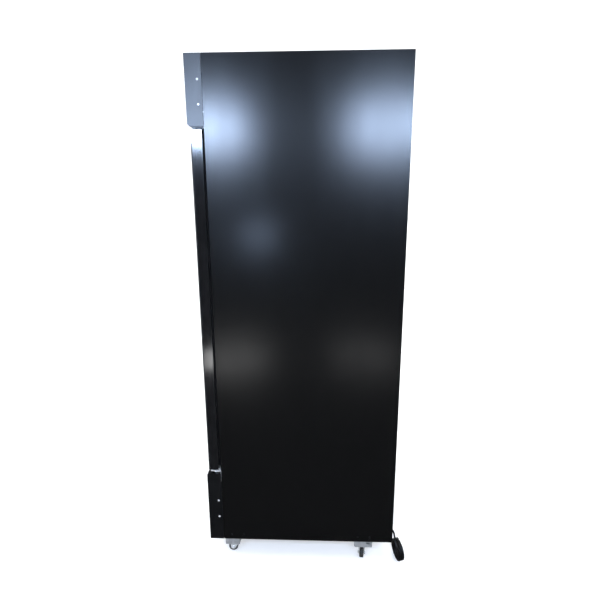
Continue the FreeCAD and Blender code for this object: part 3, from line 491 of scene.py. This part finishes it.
def make(name, mesh, finish, body):
    """A new piece from a bmesh, smooth where its faces meet gently, riding on a body."""
    bmesh.ops.recalc_face_normals(mesh, faces=mesh.faces)
    data = bpy.data.meshes.new(name)
    mesh.to_mesh(data)
    mesh.free()
    for face in data.polygons:
        face.use_smooth = True
    obj = bpy.data.objects.new(name, data)
    bpy.context.scene.collection.objects.link(obj)
    dress(obj, finish)
    data.set_sharp_from_angle(angle=SHARP_ANGLE)
    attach(obj, body)
    return obj


def frame_at(at, axis):
    """A matrix that puts local +Z along an axis, at a point."""
    return Matrix.Translation(at) @ Vector(axis).to_track_quat("Z", "Y").to_matrix().to_4x4()


def lathe(mesh, profile, place, sides=32):
    """Turns (radius, height) points about local +Z; the ends close on the axis where the radius is 0."""
    rings = []
    for radius, height in profile:
        if radius <= 0:
            rings.append([mesh.verts.new(place @ Vector((0, 0, height)))])
            continue
        rings.append([mesh.verts.new(place @ Vector((radius * math.cos(2 * math.pi * i / sides),
                                                     radius * math.sin(2 * math.pi * i / sides), height)))
                      for i in range(sides)])
    for low, high in zip(rings, rings[1:]):
        for i in range(sides):
            j = (i + 1) % sides
            corners = [low[i % len(low)], low[j % len(low)], high[j % len(high)], high[i % len(high)]]
            corners = list(dict.fromkeys(corners))
            if len(corners) > 2:
                mesh.faces.new(corners)


def block(mesh, low, high, round_by=0.0, segments=2, place=Matrix.Identity(4)):
    """A box between two corners, its edges rounded where round_by is given."""
    made = bmesh.ops.create_cube(mesh, size=1.0)["verts"]
    size = Vector(high) - Vector(low)
    middle = (Vector(high) + Vector(low)) / 2
    for v in made:
        v.co = middle + Vector(a * b for a, b in zip(v.co, size))
    edges = list({e for v in made for e in v.link_edges})
    if round_by:
        result = bmesh.ops.bevel(mesh, geom=edges, offset=round_by, segments=segments, affect="EDGES",
                                 profile=0.5)
        made = list({v for f in result["faces"] for v in f.verts} | {v for v in made if v.is_valid})
    for v in made:
        v.co = place @ v.co


def wire(mesh, points, radius, sides=10, closed=False):
    """A round wire along points."""
    points = [Vector(p) for p in points]
    count = len(points)
    rings = []
    for i, p in enumerate(points):
        before = points[(i - 1) % count] if closed or i else p
        after = points[(i + 1) % count] if closed or i < count - 1 else p
        turn = (after - before).to_track_quat("Z", "Y").to_matrix()
        rings.append([mesh.verts.new(p + turn @ Vector((radius * math.cos(2 * math.pi * k / sides),
                                                        radius * math.sin(2 * math.pi * k / sides), 0)))
                      for k in range(sides)])
    pairs = list(zip(rings, rings[1:])) + ([(rings[-1], rings[0])] if closed else [])
    for low, high in pairs:
        for k in range(sides):
            mesh.faces.new([low[k], low[(k + 1) % sides], high[(k + 1) % sides], high[k]])
    if not closed:
        mesh.faces.new(rings[0])
        mesh.faces.new(rings[-1])


# ---------------------------------------------------------------- supply cord
CORD_D = 0.0076
EXIT = Vector((0.322, 0.341, 0.187))
EXIT_TILT = math.radians(45)
EXIT_WAY = Vector((0, math.cos(EXIT_TILT), -math.sin(EXIT_TILT)))
RELIEF_LENGTH = 0.024
MOUTH = EXIT + EXIT_WAY * RELIEF_LENGTH
COIL_CENTRE = Vector((0.319, 0.412, 0.0456))
COIL_TURN = Matrix.Rotation(math.radians(15), 4, "Z") @ Matrix.Rotation(math.radians(5), 4, "X")
COIL_SIDE, COIL_AXIS, COIL_UP = [COIL_TURN.col[i].to_3d() for i in range(3)]
R_OUT, R_IN, PITCH = 0.0405, 0.0327, 0.0078
TURNS, PER_TURN = 5.25, 16
SHIFT_FROM = 0.75       # the part of a turn after which it moves over to the next turn's place
PLUG_FACE = Vector((-0.040, 0.408, 0.013))


def coil_points():
    """Five turns and a quarter in two layers and three rows; each shifts to the next one near its end."""
    places = [(0, R_OUT), (0, R_IN), (1, R_IN), (1, R_OUT), (2, R_OUT), (2, R_OUT)]
    points = []
    for i in range(round(TURNS * PER_TURN) + 1):
        turn = i / PER_TURN
        here = min(int(turn), len(places) - 1)
        then = min(here + 1, len(places) - 1)
        part = max(0.0, (turn - here - SHIFT_FROM) / (1 - SHIFT_FROM))
        part = part * part * (3 - 2 * part)
        row = places[here][0] * (1 - part) + places[then][0] * part
        radius = places[here][1] * (1 - part) + places[then][1] * part
        a = -2 * math.pi * turn
        flat = COIL_SIDE * (radius * math.cos(a)) + COIL_UP * (radius * math.sin(a))
        points.append(COIL_CENTRE + flat + COIL_AXIS * ((row - 1) * PITCH))
    return points


def cord_route():
    """From the strain relief down to the coil, round it, and along the floor to the plug."""
    coil = coil_points()
    lead_in = [MOUTH, MOUTH + EXIT_WAY * 0.024, MOUTH + EXIT_WAY * 0.047, (0.3295, 0.3946, 0.111),
               (0.342, 0.3966, 0.095), (0.353, 0.4015, 0.084), coil[0] + COIL_UP * 0.022]
    lead_out = [coil[-1] - COIL_SIDE * 0.034, (0.236, 0.4035, 0.0052), (0.180, 0.4005, 0.0046),
                (0.120, 0.406, 0.0046), (0.060, 0.412, 0.0048), (0.014, 0.4095, 0.0085),
                PLUG_FACE + Vector((0.026, 0, 0)), PLUG_FACE]
    return [Vector(p) for p in lead_in] + coil + [Vector(p) for p in lead_out]


def supply_cord():
    """The whole cord as one round tube along its route."""
    curve = bpy.data.curves.new("supply_cord", "CURVE")
    curve.dimensions = "3D"
    curve.bevel_depth, curve.bevel_resolution, curve.resolution_u = CORD_D / 2, 5, 6
    curve.use_fill_caps = True
    route = cord_route()
    spline = curve.splines.new("NURBS")
    spline.points.add(len(route) - 1)
    for point, place in zip(spline.points, route):
        point.co = (*place, 1)
    spline.order_u = 3
    spline.use_endpoint_u = True
    cord = bpy.data.objects.new("supply_cord", curve)
    bpy.context.scene.collection.objects.link(cord)
    dress(cord, JACKET)
    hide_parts("power_cord", "power_cord_coil")
    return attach(cord, "cabinet")


def plug():
    """A moulded three-pin plug: ribbed boot, finger grips along its sides, and bright blades."""
    p = PLUG_FACE
    near, far, root, tip = p.x - 0.014, p.x - 0.046, p.x - 0.0455, p.x - 0.064
    half_y, half_z, blade_y = 0.014, 0.0125, 0.0063
    grip = Vector((0.0011, 0.0006, 0.0075))
    boot = [(0, 0)]
    for i in range(6):
        z = 0.0026 * i
        radius = 0.0058 + 0.0004 * i
        rib = radius + 0.0007
        boot += [(radius, z), (rib, z + 0.0005), (rib, z + 0.0014), (radius, z + 0.0019)]
    mesh = bmesh.new()
    lathe(mesh, boot + [(0.0086, 0.016), (0, 0.016)], frame_at(p, (-1, 0, 0)), 28)
    block(mesh, (far, p.y - half_y, p.z - half_z), (near, p.y + half_y, p.z + half_z), 0.005, 4)
    for side in (-1, 1):
        for i in range(5):
            at = Vector((p.x - 0.020 - 0.0034 * i, p.y + side * (half_y + 0.0001), p.z))
            block(mesh, at - grip, at + grip, 0.0005)
    body = make("plug_moulding", mesh, SMOOTH_PLASTIC, "cabinet")
    mesh = bmesh.new()
    for side in (-1, 1):
        y = p.y + side * blade_y
        block(mesh, (tip, y - 0.0008, p.z - 0.004), (root, y + 0.0008, p.z + 0.0023), 0.0005)
    earth = [(0, 0), (0.0024, 0), (0.0024, 0.0195), (0.0018, 0.0211), (0.0008, 0.0215), (0, 0.0215)]
    lathe(mesh, earth, frame_at((root, p.y, p.z + 0.0075), (-1, 0, 0)), 20)
    blades = make("plug_blades", mesh, STEEL, "cabinet")
    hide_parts("power_plug")
    return [body, blades]


def tie():
    """A hook-and-loop strap pulled round the turns, its tail laid back over itself."""
    slack, strap_t, half_w, tail_rise = 0.0006, 0.0011, 0.0045, 0.0013
    steps, lapped, start = 48, 5, 0.9
    mid = (R_OUT + R_IN) / 2
    wide = (R_OUT - R_IN + CORD_D) / 2 + slack
    deep = (2 * PITCH + CORD_D) / 2 + slack
    place = Matrix.Translation(COIL_CENTRE) @ COIL_TURN @ Matrix.Rotation(math.radians(-125), 4, "Y")
    mesh = bmesh.new()
    rows = []
    for i in range(steps + lapped):
        a = 2 * math.pi * i / steps + start
        c, s = math.cos(a), math.sin(a)
        squareness = (abs(c) ** 5 + abs(s) ** 5) ** -0.2
        over = tail_rise * max(0.0, min(1.0, (i - steps + 2) / 3))
        x, y = mid + (wide * squareness + over) * c, (deep * squareness + over) * s
        rows.append([mesh.verts.new(place @ Vector((x + c * t, y + s * t, z)))
                     for t, z in ((0, -half_w), (strap_t, -half_w), (strap_t, half_w), (0, half_w))])
    for a, b in zip(rows, rows[1:]):
        for k in range(4):
            mesh.faces.new([a[k], a[(k + 1) % 4], b[(k + 1) % 4], b[k]])
    mesh.faces.new(rows[0])
    mesh.faces.new(rows[-1])
    strap = make("coil_strap", mesh, TIE, "cabinet")
    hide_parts("cord_tie")
    return strap


def relief():
    """Screwed collar and a tapered boot with relief grooves, tilted down at the exit."""
    mesh = bmesh.new()
    collar = [(0, -0.005), (0.0108, -0.005), (0.0108, 0), (0.0142, 0), (0.015, 0.0008), (0.015, 0.0022),
              (0.0142, 0.003), (0.0098, 0.0036), (0, 0.0036)]
    lathe(mesh, collar, frame_at((EXIT.x, COVER_Y, EXIT.z), (0, 1, 0)), 36)
    boot = [(0, -0.002)]
    for i in range(7):
        z = -0.002 + 0.0036 * i
        radius = 0.0090 - 0.00048 * i
        groove = radius - 0.0011
        boot += [(radius, z), (radius - 0.0001, z + 0.0022), (groove, z + 0.0026), (groove, z + 0.0034)]
    boot += [(0.0056, 0.0232), (0.0050, RELIEF_LENGTH), (0, RELIEF_LENGTH)]
    lathe(mesh, boot, frame_at(EXIT, EXIT_WAY), 36)
    piece = make("relief_boot", mesh, SMOOTH_PLASTIC, "cabinet")
    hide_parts("strain_relief")


cord = supply_cord()
on_cord = plug() + [tie()]
relief()


# ---------------------------------------------------------------- screws
def pan_screw(mesh, at, way, radius=0.004, height=0.0022, sides=28):
    """A domed head with a cross recess, standing on a face at a point."""
    place = frame_at(at, way)
    rings = []
    dome = ((1.0, -0.05), (1.0, 0.35), (0.93, 0.62), (0.78, 0.84), (0.6, 0.95), (0.42, 1.0), (0.26, 1.0),
            (0.12, 1.0))
    for share, rise in dome:
        ring = []
        for i in range(sides):
            a = 2 * math.pi * (i + 0.5) / sides
            x, y = share * math.cos(a), share * math.sin(a)
            in_cross = share < 0.6 and min(abs(x), abs(y)) < 0.13
            depth = rise - (0.55 if in_cross else 0.0)
            ring.append(mesh.verts.new(place @ Vector((x * radius, y * radius, depth * height))))
        rings.append(ring)
    for low, high in zip(rings, rings[1:]):
        for i in range(sides):
            j = (i + 1) % sides
            mesh.faces.new([low[i], low[j], high[j], high[i]])
    mesh.faces.new(rings[-1])


def hex_head(mesh, at, way, radius, height, washer=0.0):
    """A hexagon head, chamfered, on a washer."""
    place = frame_at(at, way)
    if washer:
        lathe(mesh, [(0, -0.0002), (radius * 1.35, -0.0002), (radius * 1.35, washer), (0, washer)], place, 28)
    head = [(0, washer), (radius, washer), (radius, height * 0.8), (radius * 0.86, height), (0, height)]
    lathe(mesh, head, place, 6)


FACIA_SCREW_Y = FRONT_Y + 0.043
HEADER_SCREWS_Z = (1.821, 1.900)
GRILLE_SCREWS_Z = (0.209, 0.285)
FOOT_SCREWS_Y = (-0.290, -0.239, 0.2375, 0.2885)
HINGE_BOLTS_X = (0.308, 0.326)
HINGE_BOLTS_Z = (0.384, 1.775)
HINGE_BOLT_Y = -0.327
BACK_HEAD = {"radius": 0.0038, "height": 0.002}


def screws():
    """Bright heads on the facias, hinges, back and compressor's feet, and black ones low on the sides."""
    back_row_z, back_rise = 0.19, 0.249
    top_row_z, joint_row_z = PANEL_Z1 - 0.012, 0.412
    cover_x, cover_zs = 0.329, (0.152, 0.27, 0.388)
    feet_xs, feet_ys, feet_z = (0.09, 0.25), (0.01, 0.17), 0.122
    mesh = bmesh.new()
    for side in (-1, 1):
        for z in HEADER_SCREWS_Z + GRILLE_SCREWS_Z:
            pan_screw(mesh, (side * PANEL_X, FACIA_SCREW_Y, z), (side, 0, 0))
    for x in HINGE_BOLTS_X:
        for z in HINGE_BOLTS_Z:
            pan_screw(mesh, (x, HINGE_BOLT_Y, z), (0, -1, 0), 0.005, 0.003)
    for side in (-1, 1):
        for i in range(8):
            at = (side * (PANEL_X - 0.006), BACK_Y, back_row_z + back_rise * i)
            pan_screw(mesh, at, (0, 1, 0), **BACK_HEAD)
        for z in cover_zs:
            by_the_cord = side > 0 and z < EXIT.z
            if not by_the_cord:
                pan_screw(mesh, (side * cover_x, COVER_Y, z), (0, 1, 0), **BACK_HEAD)
    for i in range(5):
        x = -0.28 + 0.14 * i
        for z in (top_row_z, joint_row_z):
            pan_screw(mesh, (x, BACK_Y - 0.001, z), (0, 1, 0), **BACK_HEAD)
    for x in feet_xs:
        for y in feet_ys:
            hex_head(mesh, (x, y, feet_z), (0, 0, 1), 0.007, 0.006, 0.0012)
    piece = make("screw_heads", mesh, STEEL, "cabinet")
    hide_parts("screws")
    mesh = bmesh.new()
    for side in (-1, 1):
        for y in FOOT_SCREWS_Y:
            pan_screw(mesh, (side * PANEL_X, y, PANEL_Z0 + 0.023), (side, 0, 0))
    make("foot_screws", mesh, GRILLE, "cabinet")


# ---------------------------------------------------------------- door
def ring_sweep(mesh, half_x, z0, z1, profile):
    """A closed section of (inset, y) points carried round an upright rectangle, mitred at its corners."""
    corners = []
    for sx, z, way in ((-1, z0, 1), (1, z0, 1), (1, z1, -1), (-1, z1, -1)):
        corners.append([mesh.verts.new((sx * (half_x - d), y, z + way * d)) for d, y in profile])
    count = len(profile)
    for a, b in zip(corners, corners[1:] + corners[:1]):
        for k in range(count):
            mesh.faces.new([a[k], a[(k + 1) % count], b[(k + 1) % count], b[k]])


def door_seal():
    """Magnetic gasket: a push-in foot, a bellows and a bulb for the magnet strip."""
    low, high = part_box("door_gasket")
    deep = high.y - low.y
    section = [(0.0015, 0.0), (0.0225, 0.0), (0.0205, 0.16), (0.0238, 0.34), (0.0205, 0.52), (0.0232, 0.66),
               (0.0232, 0.96), (0.0222, 1.0), (0.0102, 1.0), (0.0092, 0.96), (0.0088, 0.66), (0.0030, 0.62),
               (0.0004, 0.46), (0.0034, 0.30), (0.0008, 0.14)]
    mesh = bmesh.new()
    ring_sweep(mesh, high.x, low.z, high.z, [(d, low.y + deep * t) for d, t in section])
    seal = make("door_seal", mesh, SEAL, "door")
    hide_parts("door_gasket")


def gap_shade_strip():
    """Dark brush strip under the header that closes the gap over the door, short of the hinge bracket:
    painted shade, a dark strip set in the gap where there is only shade.
    """
    x0, x1 = -0.340, 0.296
    front, back, tuft_front, tuft_back = -0.369, -0.360, -0.3665, -0.3625
    tufts, tuft_half, inset = 320, 0.0006, 0.0005
    z0, z1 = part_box("door_outer_glass")[1].z + 0.001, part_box("header_frame")[0].z
    mesh = bmesh.new()
    # painted shade: the dark strip and its tufts fill a gap that holds only shade
    block(mesh, (x0, front, z0 + 0.003), (x1, back, z1), 0.0004, 1)
    for i in range(tufts):
        x = x0 + inset + (x1 - x0 - 2 * inset) * (i + 0.5) / tufts
        block(mesh, (x - tuft_half, tuft_front, z0), (x + tuft_half, tuft_back, z0 + 0.0035))
    make("gap_shade_strip", mesh, SEAL, "cabinet")


def glass_border():
    """The opaque border printed on the back of the outer pane."""
    low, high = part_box("door_outer_glass")
    outer, inner = 0.001, 0.060
    front, back = high.y - 0.0012, high.y - 0.0004
    mesh = bmesh.new()
    ring_sweep(mesh, high.x, low.z, high.z, [(outer, front), (inner, front), (inner, back), (outer, back)])
    make("glass_border", mesh, FRIT, "door")


# ---------------------------------------------------------------- louvres and guards
HOOD_OUT, HOOD_T = 0.0055, 0.0008     # how far a louvre stands out, and its sheet's thickness
HOOD_CURVE = 5                        # faces round its bulge


def hood(mesh, x0, x1, z_top, z_low, y, way, steps=14):
    """A pressed louvre over a slot: it bulges along Y (way is 1 or -1) from its top edge, open below."""
    rows = []
    for i in range(steps + 1):
        t = i / steps
        end = min(1.0, 4.5 * min(t, 1 - t) + 0.02)
        out = way * HOOD_OUT * math.sqrt(end * (2 - end))
        x = x0 + (x1 - x0) * t
        row = []
        for k in range(HOOD_CURVE + 1):
            a = math.pi / 2 * k / HOOD_CURVE
            row.append(mesh.verts.new((x, y + out * math.sin(a), z_low + (z_top - z_low) * math.cos(a))))
        rows.append(row)
    for a, b in zip(rows, rows[1:]):
        for k in range(HOOD_CURVE):
            mesh.faces.new([a[k], b[k], b[k + 1], a[k + 1]])


def press(name, mesh, finish):
    """A piece of sheet metal from an open mesh of hoods."""
    sheet = make(name, mesh, finish, "cabinet").modifiers.new("thickness", "SOLIDIFY")
    sheet.thickness, sheet.offset = HOOD_T, 0.0


def louvres():
    """Hoods over the slots of the rear cover, the lower grille and the evaporator housing."""
    mesh = bmesh.new()
    for x in (-0.300, -0.190, -0.080, 0.030, 0.140):
        for i in range(11):
            z = 0.170 + 0.020 * i
            hood(mesh, x - 0.002, x + 0.094, z + 0.009, z + 0.001, COVER_Y - 0.0001, 1)
    press("rear_louvres", mesh, ZINC)
    mesh = bmesh.new()
    half_slot = 0.087
    for x in (-0.190, 0.0, 0.190):
        for i in range(12):
            z = 0.130 + 0.018 * i
            hood(mesh, x - half_slot, x + half_slot, z + 0.009, z - 0.002, FRONT_Y + 0.0009, 1, 20)
    press("grille_vanes", mesh, GRILLE)
    housing_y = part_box("evaporator_housing")[0].y
    mesh = bmesh.new()
    for x in (-0.260, -0.140, 0.040, 0.160):
        for i in range(5):
            z = 1.790 + 0.020 * i
            hood(mesh, x - 0.002, x + 0.102, z + 0.011, z + 0.001, housing_y + 0.0001, -1)
    press("air_outlets", mesh, LINER)


def fan_guard(name, centre, axis, radius, finish):
    """Rings of wire on crossed spokes in front of a fan, fixed to the cabinet."""
    wire_r, rings, spokes, steps = 0.0011, 6, 6, 48
    place = frame_at(centre, axis)
    lift = Vector((0, 0, 2 * wire_r))
    mesh = bmesh.new()
    for i in range(1, rings + 1):
        ring = radius * i / rings
        turns = [2 * math.pi * k / steps for k in range(steps)]
        wire(mesh, [place @ Vector((ring * math.cos(a), ring * math.sin(a), 0.0)) for a in turns],
             wire_r, 8, closed=True)
    for i in range(spokes):
        a = math.pi * i / spokes
        reach = Vector((math.cos(a), math.sin(a), 0)) * (radius + 0.006)
        wire(mesh, [place @ (reach * t + lift) for t in (-1, -0.5, 0, 0.5, 1)], wire_r, 8)
    make(name, mesh, finish, "cabinet")


# ---------------------------------------------------------------- casters
TYRE_HALF = [(0.0128, 0.0070), (0.0136, 0.0078), (0.0160, 0.0084), (0.0184, 0.0080), (0.0196, 0.0062),
             (0.0199, 0.0040), (0.0200, 0.0016)]
HUB_HALF = [(0.0031, 0.0085), (0.0056, 0.0085), (0.0062, 0.0078), (0.0062, 0.0060), (0.0114, 0.0058),
            (0.0120, 0.0072), (0.0129, 0.0072)]


def both_sides(half):
    """A wheel's whole section from the half of it on one side of its middle plane."""
    return [(r, -z) for r, z in half] + [(r, z) for r, z in reversed(half)]


def caster_parts():
    """Tyre, ribbed hub, axle bolt and nut for each caster, placed by its own axle."""
    spokes, fork_face = 6, 0.0125
    for joint in frame["joints"]:
        if not joint["name"].startswith("roll_"):
            continue
        corner = joint["name"].removeprefix("roll_")
        place = frame_at(joint["pos_m"], joint["axis"])
        mesh = bmesh.new()
        lathe(mesh, both_sides(TYRE_HALF), place, 56)
        tyre = make("tyre_" + corner, mesh, TYRE, "caster_wheel_" + corner)
        mesh = bmesh.new()
        lathe(mesh, both_sides(HUB_HALF), place, 40)
        for side in (-1, 1):
            low, high = sorted((side * 0.0058, side * 0.0074))
            for i in range(spokes):
                spin = Matrix.Rotation(2 * math.pi * i / spokes, 4, "Z")
                block(mesh, (0.0058, -0.0007, low), (0.0118, 0.0007, high), 0.0003, 1, place @ spin)
        make("hub_" + corner, mesh, GREY, "caster_wheel_" + corner)
        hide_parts("caster_wheel_" + corner)
        mesh = bmesh.new()
        for side, height in ((-1, 0.0042), (1, 0.0036)):
            way = Vector(joint["axis"]) * side
            hex_head(mesh, Vector(joint["pos_m"]) + way * fork_face, way, 0.0052, height, 0.0007)
        make("axle_nuts_" + corner, mesh, STEEL, "caster_fork_" + corner)


# ---------------------------------------------------------------- controls
# each segment's place in half widths and half heights of a digit, and whether it lies flat
SEGMENTS = {"a": (0, 1, True), "b": (1, 0.5, False), "c": (1, -0.5, False), "d": (0, -1, True),
            "e": (-1, -0.5, False), "f": (-1, 0.5, False), "g": (0, 0, True)}
LIT = {"3": "abgcd", "8": "abcdefg"}
CONTROL_Z = 0.368


def display():
    """A dark window over two seven-segment digits."""
    y = FRONT_Y + 0.0015
    half_w, half_h = 0.0037, 0.0066
    mesh = bmesh.new()
    block(mesh, (0.1632, y + 0.0003, 0.3562), (0.1968, y + 0.0013, 0.3798), 0.0002, 1)
    make("display_window", mesh, SCREEN, "cabinet")
    mesh = bmesh.new()
    for digit, x in (("3", 0.1735), ("8", 0.1865)):
        for segment in LIT[digit]:
            across, up, flat = SEGMENTS[segment]
            cx, cz = x + across * half_w, CONTROL_Z + up * half_h
            dx, dz = (0.0030, 0.0006) if flat else (0.0006, 0.0027)
            block(mesh, (cx - dx, y + 0.0001, cz - dz), (cx + dx, y + 0.0005, cz + dz), 0.0001, 1)
    make("display_digits", mesh, DIGITS, "cabinet")


def button_marks():
    """A dot, an up arrow and a down arrow, printed proud on the three buttons."""
    mark = [(0, -0.0001), (0.0016, -0.0001), (0.0016, 0.00012), (0.0013, 0.00016), (0, 0.00016)]
    face_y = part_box("button_up")[0].y
    buttons = (("button_set", 0.2040, None), ("button_up", 0.2135, 90), ("button_down", 0.2230, -90))
    for name, x, arrow_turn in buttons:
        at = Vector((x, face_y, CONTROL_Z))
        if arrow_turn is None:
            place, sides = frame_at(at, (0, -1, 0)), 24
        else:
            upright = Matrix.Translation(at) @ Matrix.Rotation(math.radians(90), 4, "X")
            place, sides = upright @ Matrix.Rotation(math.radians(arrow_turn), 4, "Z"), 3
        mesh = bmesh.new()
        lathe(mesh, mark, place, sides)
        make(name + "_mark", mesh, MARK, name)


screws()
door_seal()
gap_shade_strip()
glass_border()
louvres()
fan_guard("evaporator_guard", (0, -0.090, 1.7205), (0, 0, -1), 0.101, STEEL)
fan_guard("condenser_guard", (-0.060, -0.1985, 0.227), (0, 1, 0), 0.108, PLASTIC)
caster_parts()
display()
button_marks()


# ---------------------------------------------------------------- studio
def studio():
    """A pale round floor that curves up into a pale wall, right round the object."""
    mesh = bmesh.new()
    flat, cove, wall_top = 3.2, 1.2, 6.5
    turns = [math.radians(a) for a in range(10, 91, 10)]
    curve = [(flat + cove * math.sin(a), cove * (1 - math.cos(a))) for a in turns]
    profile = [(0, 0), (1.5, 0), (flat, 0)] + curve + [(flat + cove, wall_top)]
    lathe(mesh, profile, Matrix.Identity(4), 96)
    data = bpy.data.meshes.new("studio_floor")
    mesh.to_mesh(data)
    mesh.free()
    for face in data.polygons:
        face.use_smooth = True
    floor = bpy.data.objects.new("studio_floor", data)
    bpy.context.scene.collection.objects.link(floor)
    look = Look("studio_paper", roughness=0.9, color=(0.86, 0.86, 0.86), ior_level=0.0)
    look.paint(look.colors(look.noise(0.6, 2), (0.3, (0.855, 0.855, 0.855)), (0.7, (0.865, 0.865, 0.865))))
    look.glow((1, 1, 1), 0.25)
    dress(floor, look.mat)
    # kept out of reflections, so that the black paint mirrors the lamps and not the floor
    floor.visible_glossy = False


def softbox(name, at, towards, size, watts, color=(1, 1, 1)):
    """A rectangular lamp turned to a point, itself unseen by the camera."""
    data = bpy.data.lights.new(name, "AREA")
    data.shape = "RECTANGLE"
    data.size, data.size_y = size
    data.energy = watts
    data.color = color
    lamp = bpy.data.objects.new(name, data)
    lamp.location = at
    lamp.rotation_euler = (Vector(towards) - Vector(at)).to_track_quat("-Z", "Y").to_euler()
    lamp.visible_camera = False
    bpy.context.scene.collection.objects.link(lamp)


studio()

# five lamps 2 m off the hinge side make the sheens seen in its paint; four large ones light the rest
COOL = (0.55, 0.71, 1.0)
LAMP_X = PANEL_X + 2.0
softbox("overhead", (0, 0, 4.3), (0, 0, 0), (4.2, 4.2), 150)
softbox("lamp_left", (LAMP_X, -0.73, 1.99), (PANEL_X, -0.35, 1.7), (0.38, 0.24), 30, COOL)
softbox("lamp_right", (LAMP_X, 0.605, 1.99), (PANEL_X, 0.30, 1.7), (0.59, 0.32), 30, COOL)
softbox("glint", (LAMP_X, -0.41, 1.19), (PANEL_X, -0.2, 1.1), (0.1, 0.1), 1.6, COOL)
softbox("low_left", (LAMP_X, -0.637, 0.156), (PANEL_X, -0.3, 0.5), (0.5, 0.16), 1.4)
softbox("low_right", (LAMP_X, 0.46, 0.20), (PANEL_X, 0.2, 0.5), (0.52, 0.20), 0.7)
softbox("behind", (-0.6, 3.4, 1.5), (0, 0.3, 1.0), (2.6, 2.4), 24)
softbox("before", (-0.7, -2.9, 4.1), (0, -0.3, 1.0), (2.2, 2.2), 40)
softbox("far_side", (-3.4, 0.2, 2.4), (-0.3, 0, 1.0), (2.4, 2.4), 30)

world = bpy.data.worlds.new("studio")
world.use_nodes = True
sky = world.node_tree.nodes["Background"]
sky.inputs["Color"].default_value = (0.92, 0.92, 0.90, 1)
sky.inputs["Strength"].default_value = 0.06
bpy.context.scene.world = world
bpy.context.scene.view_settings.view_transform = "Standard"
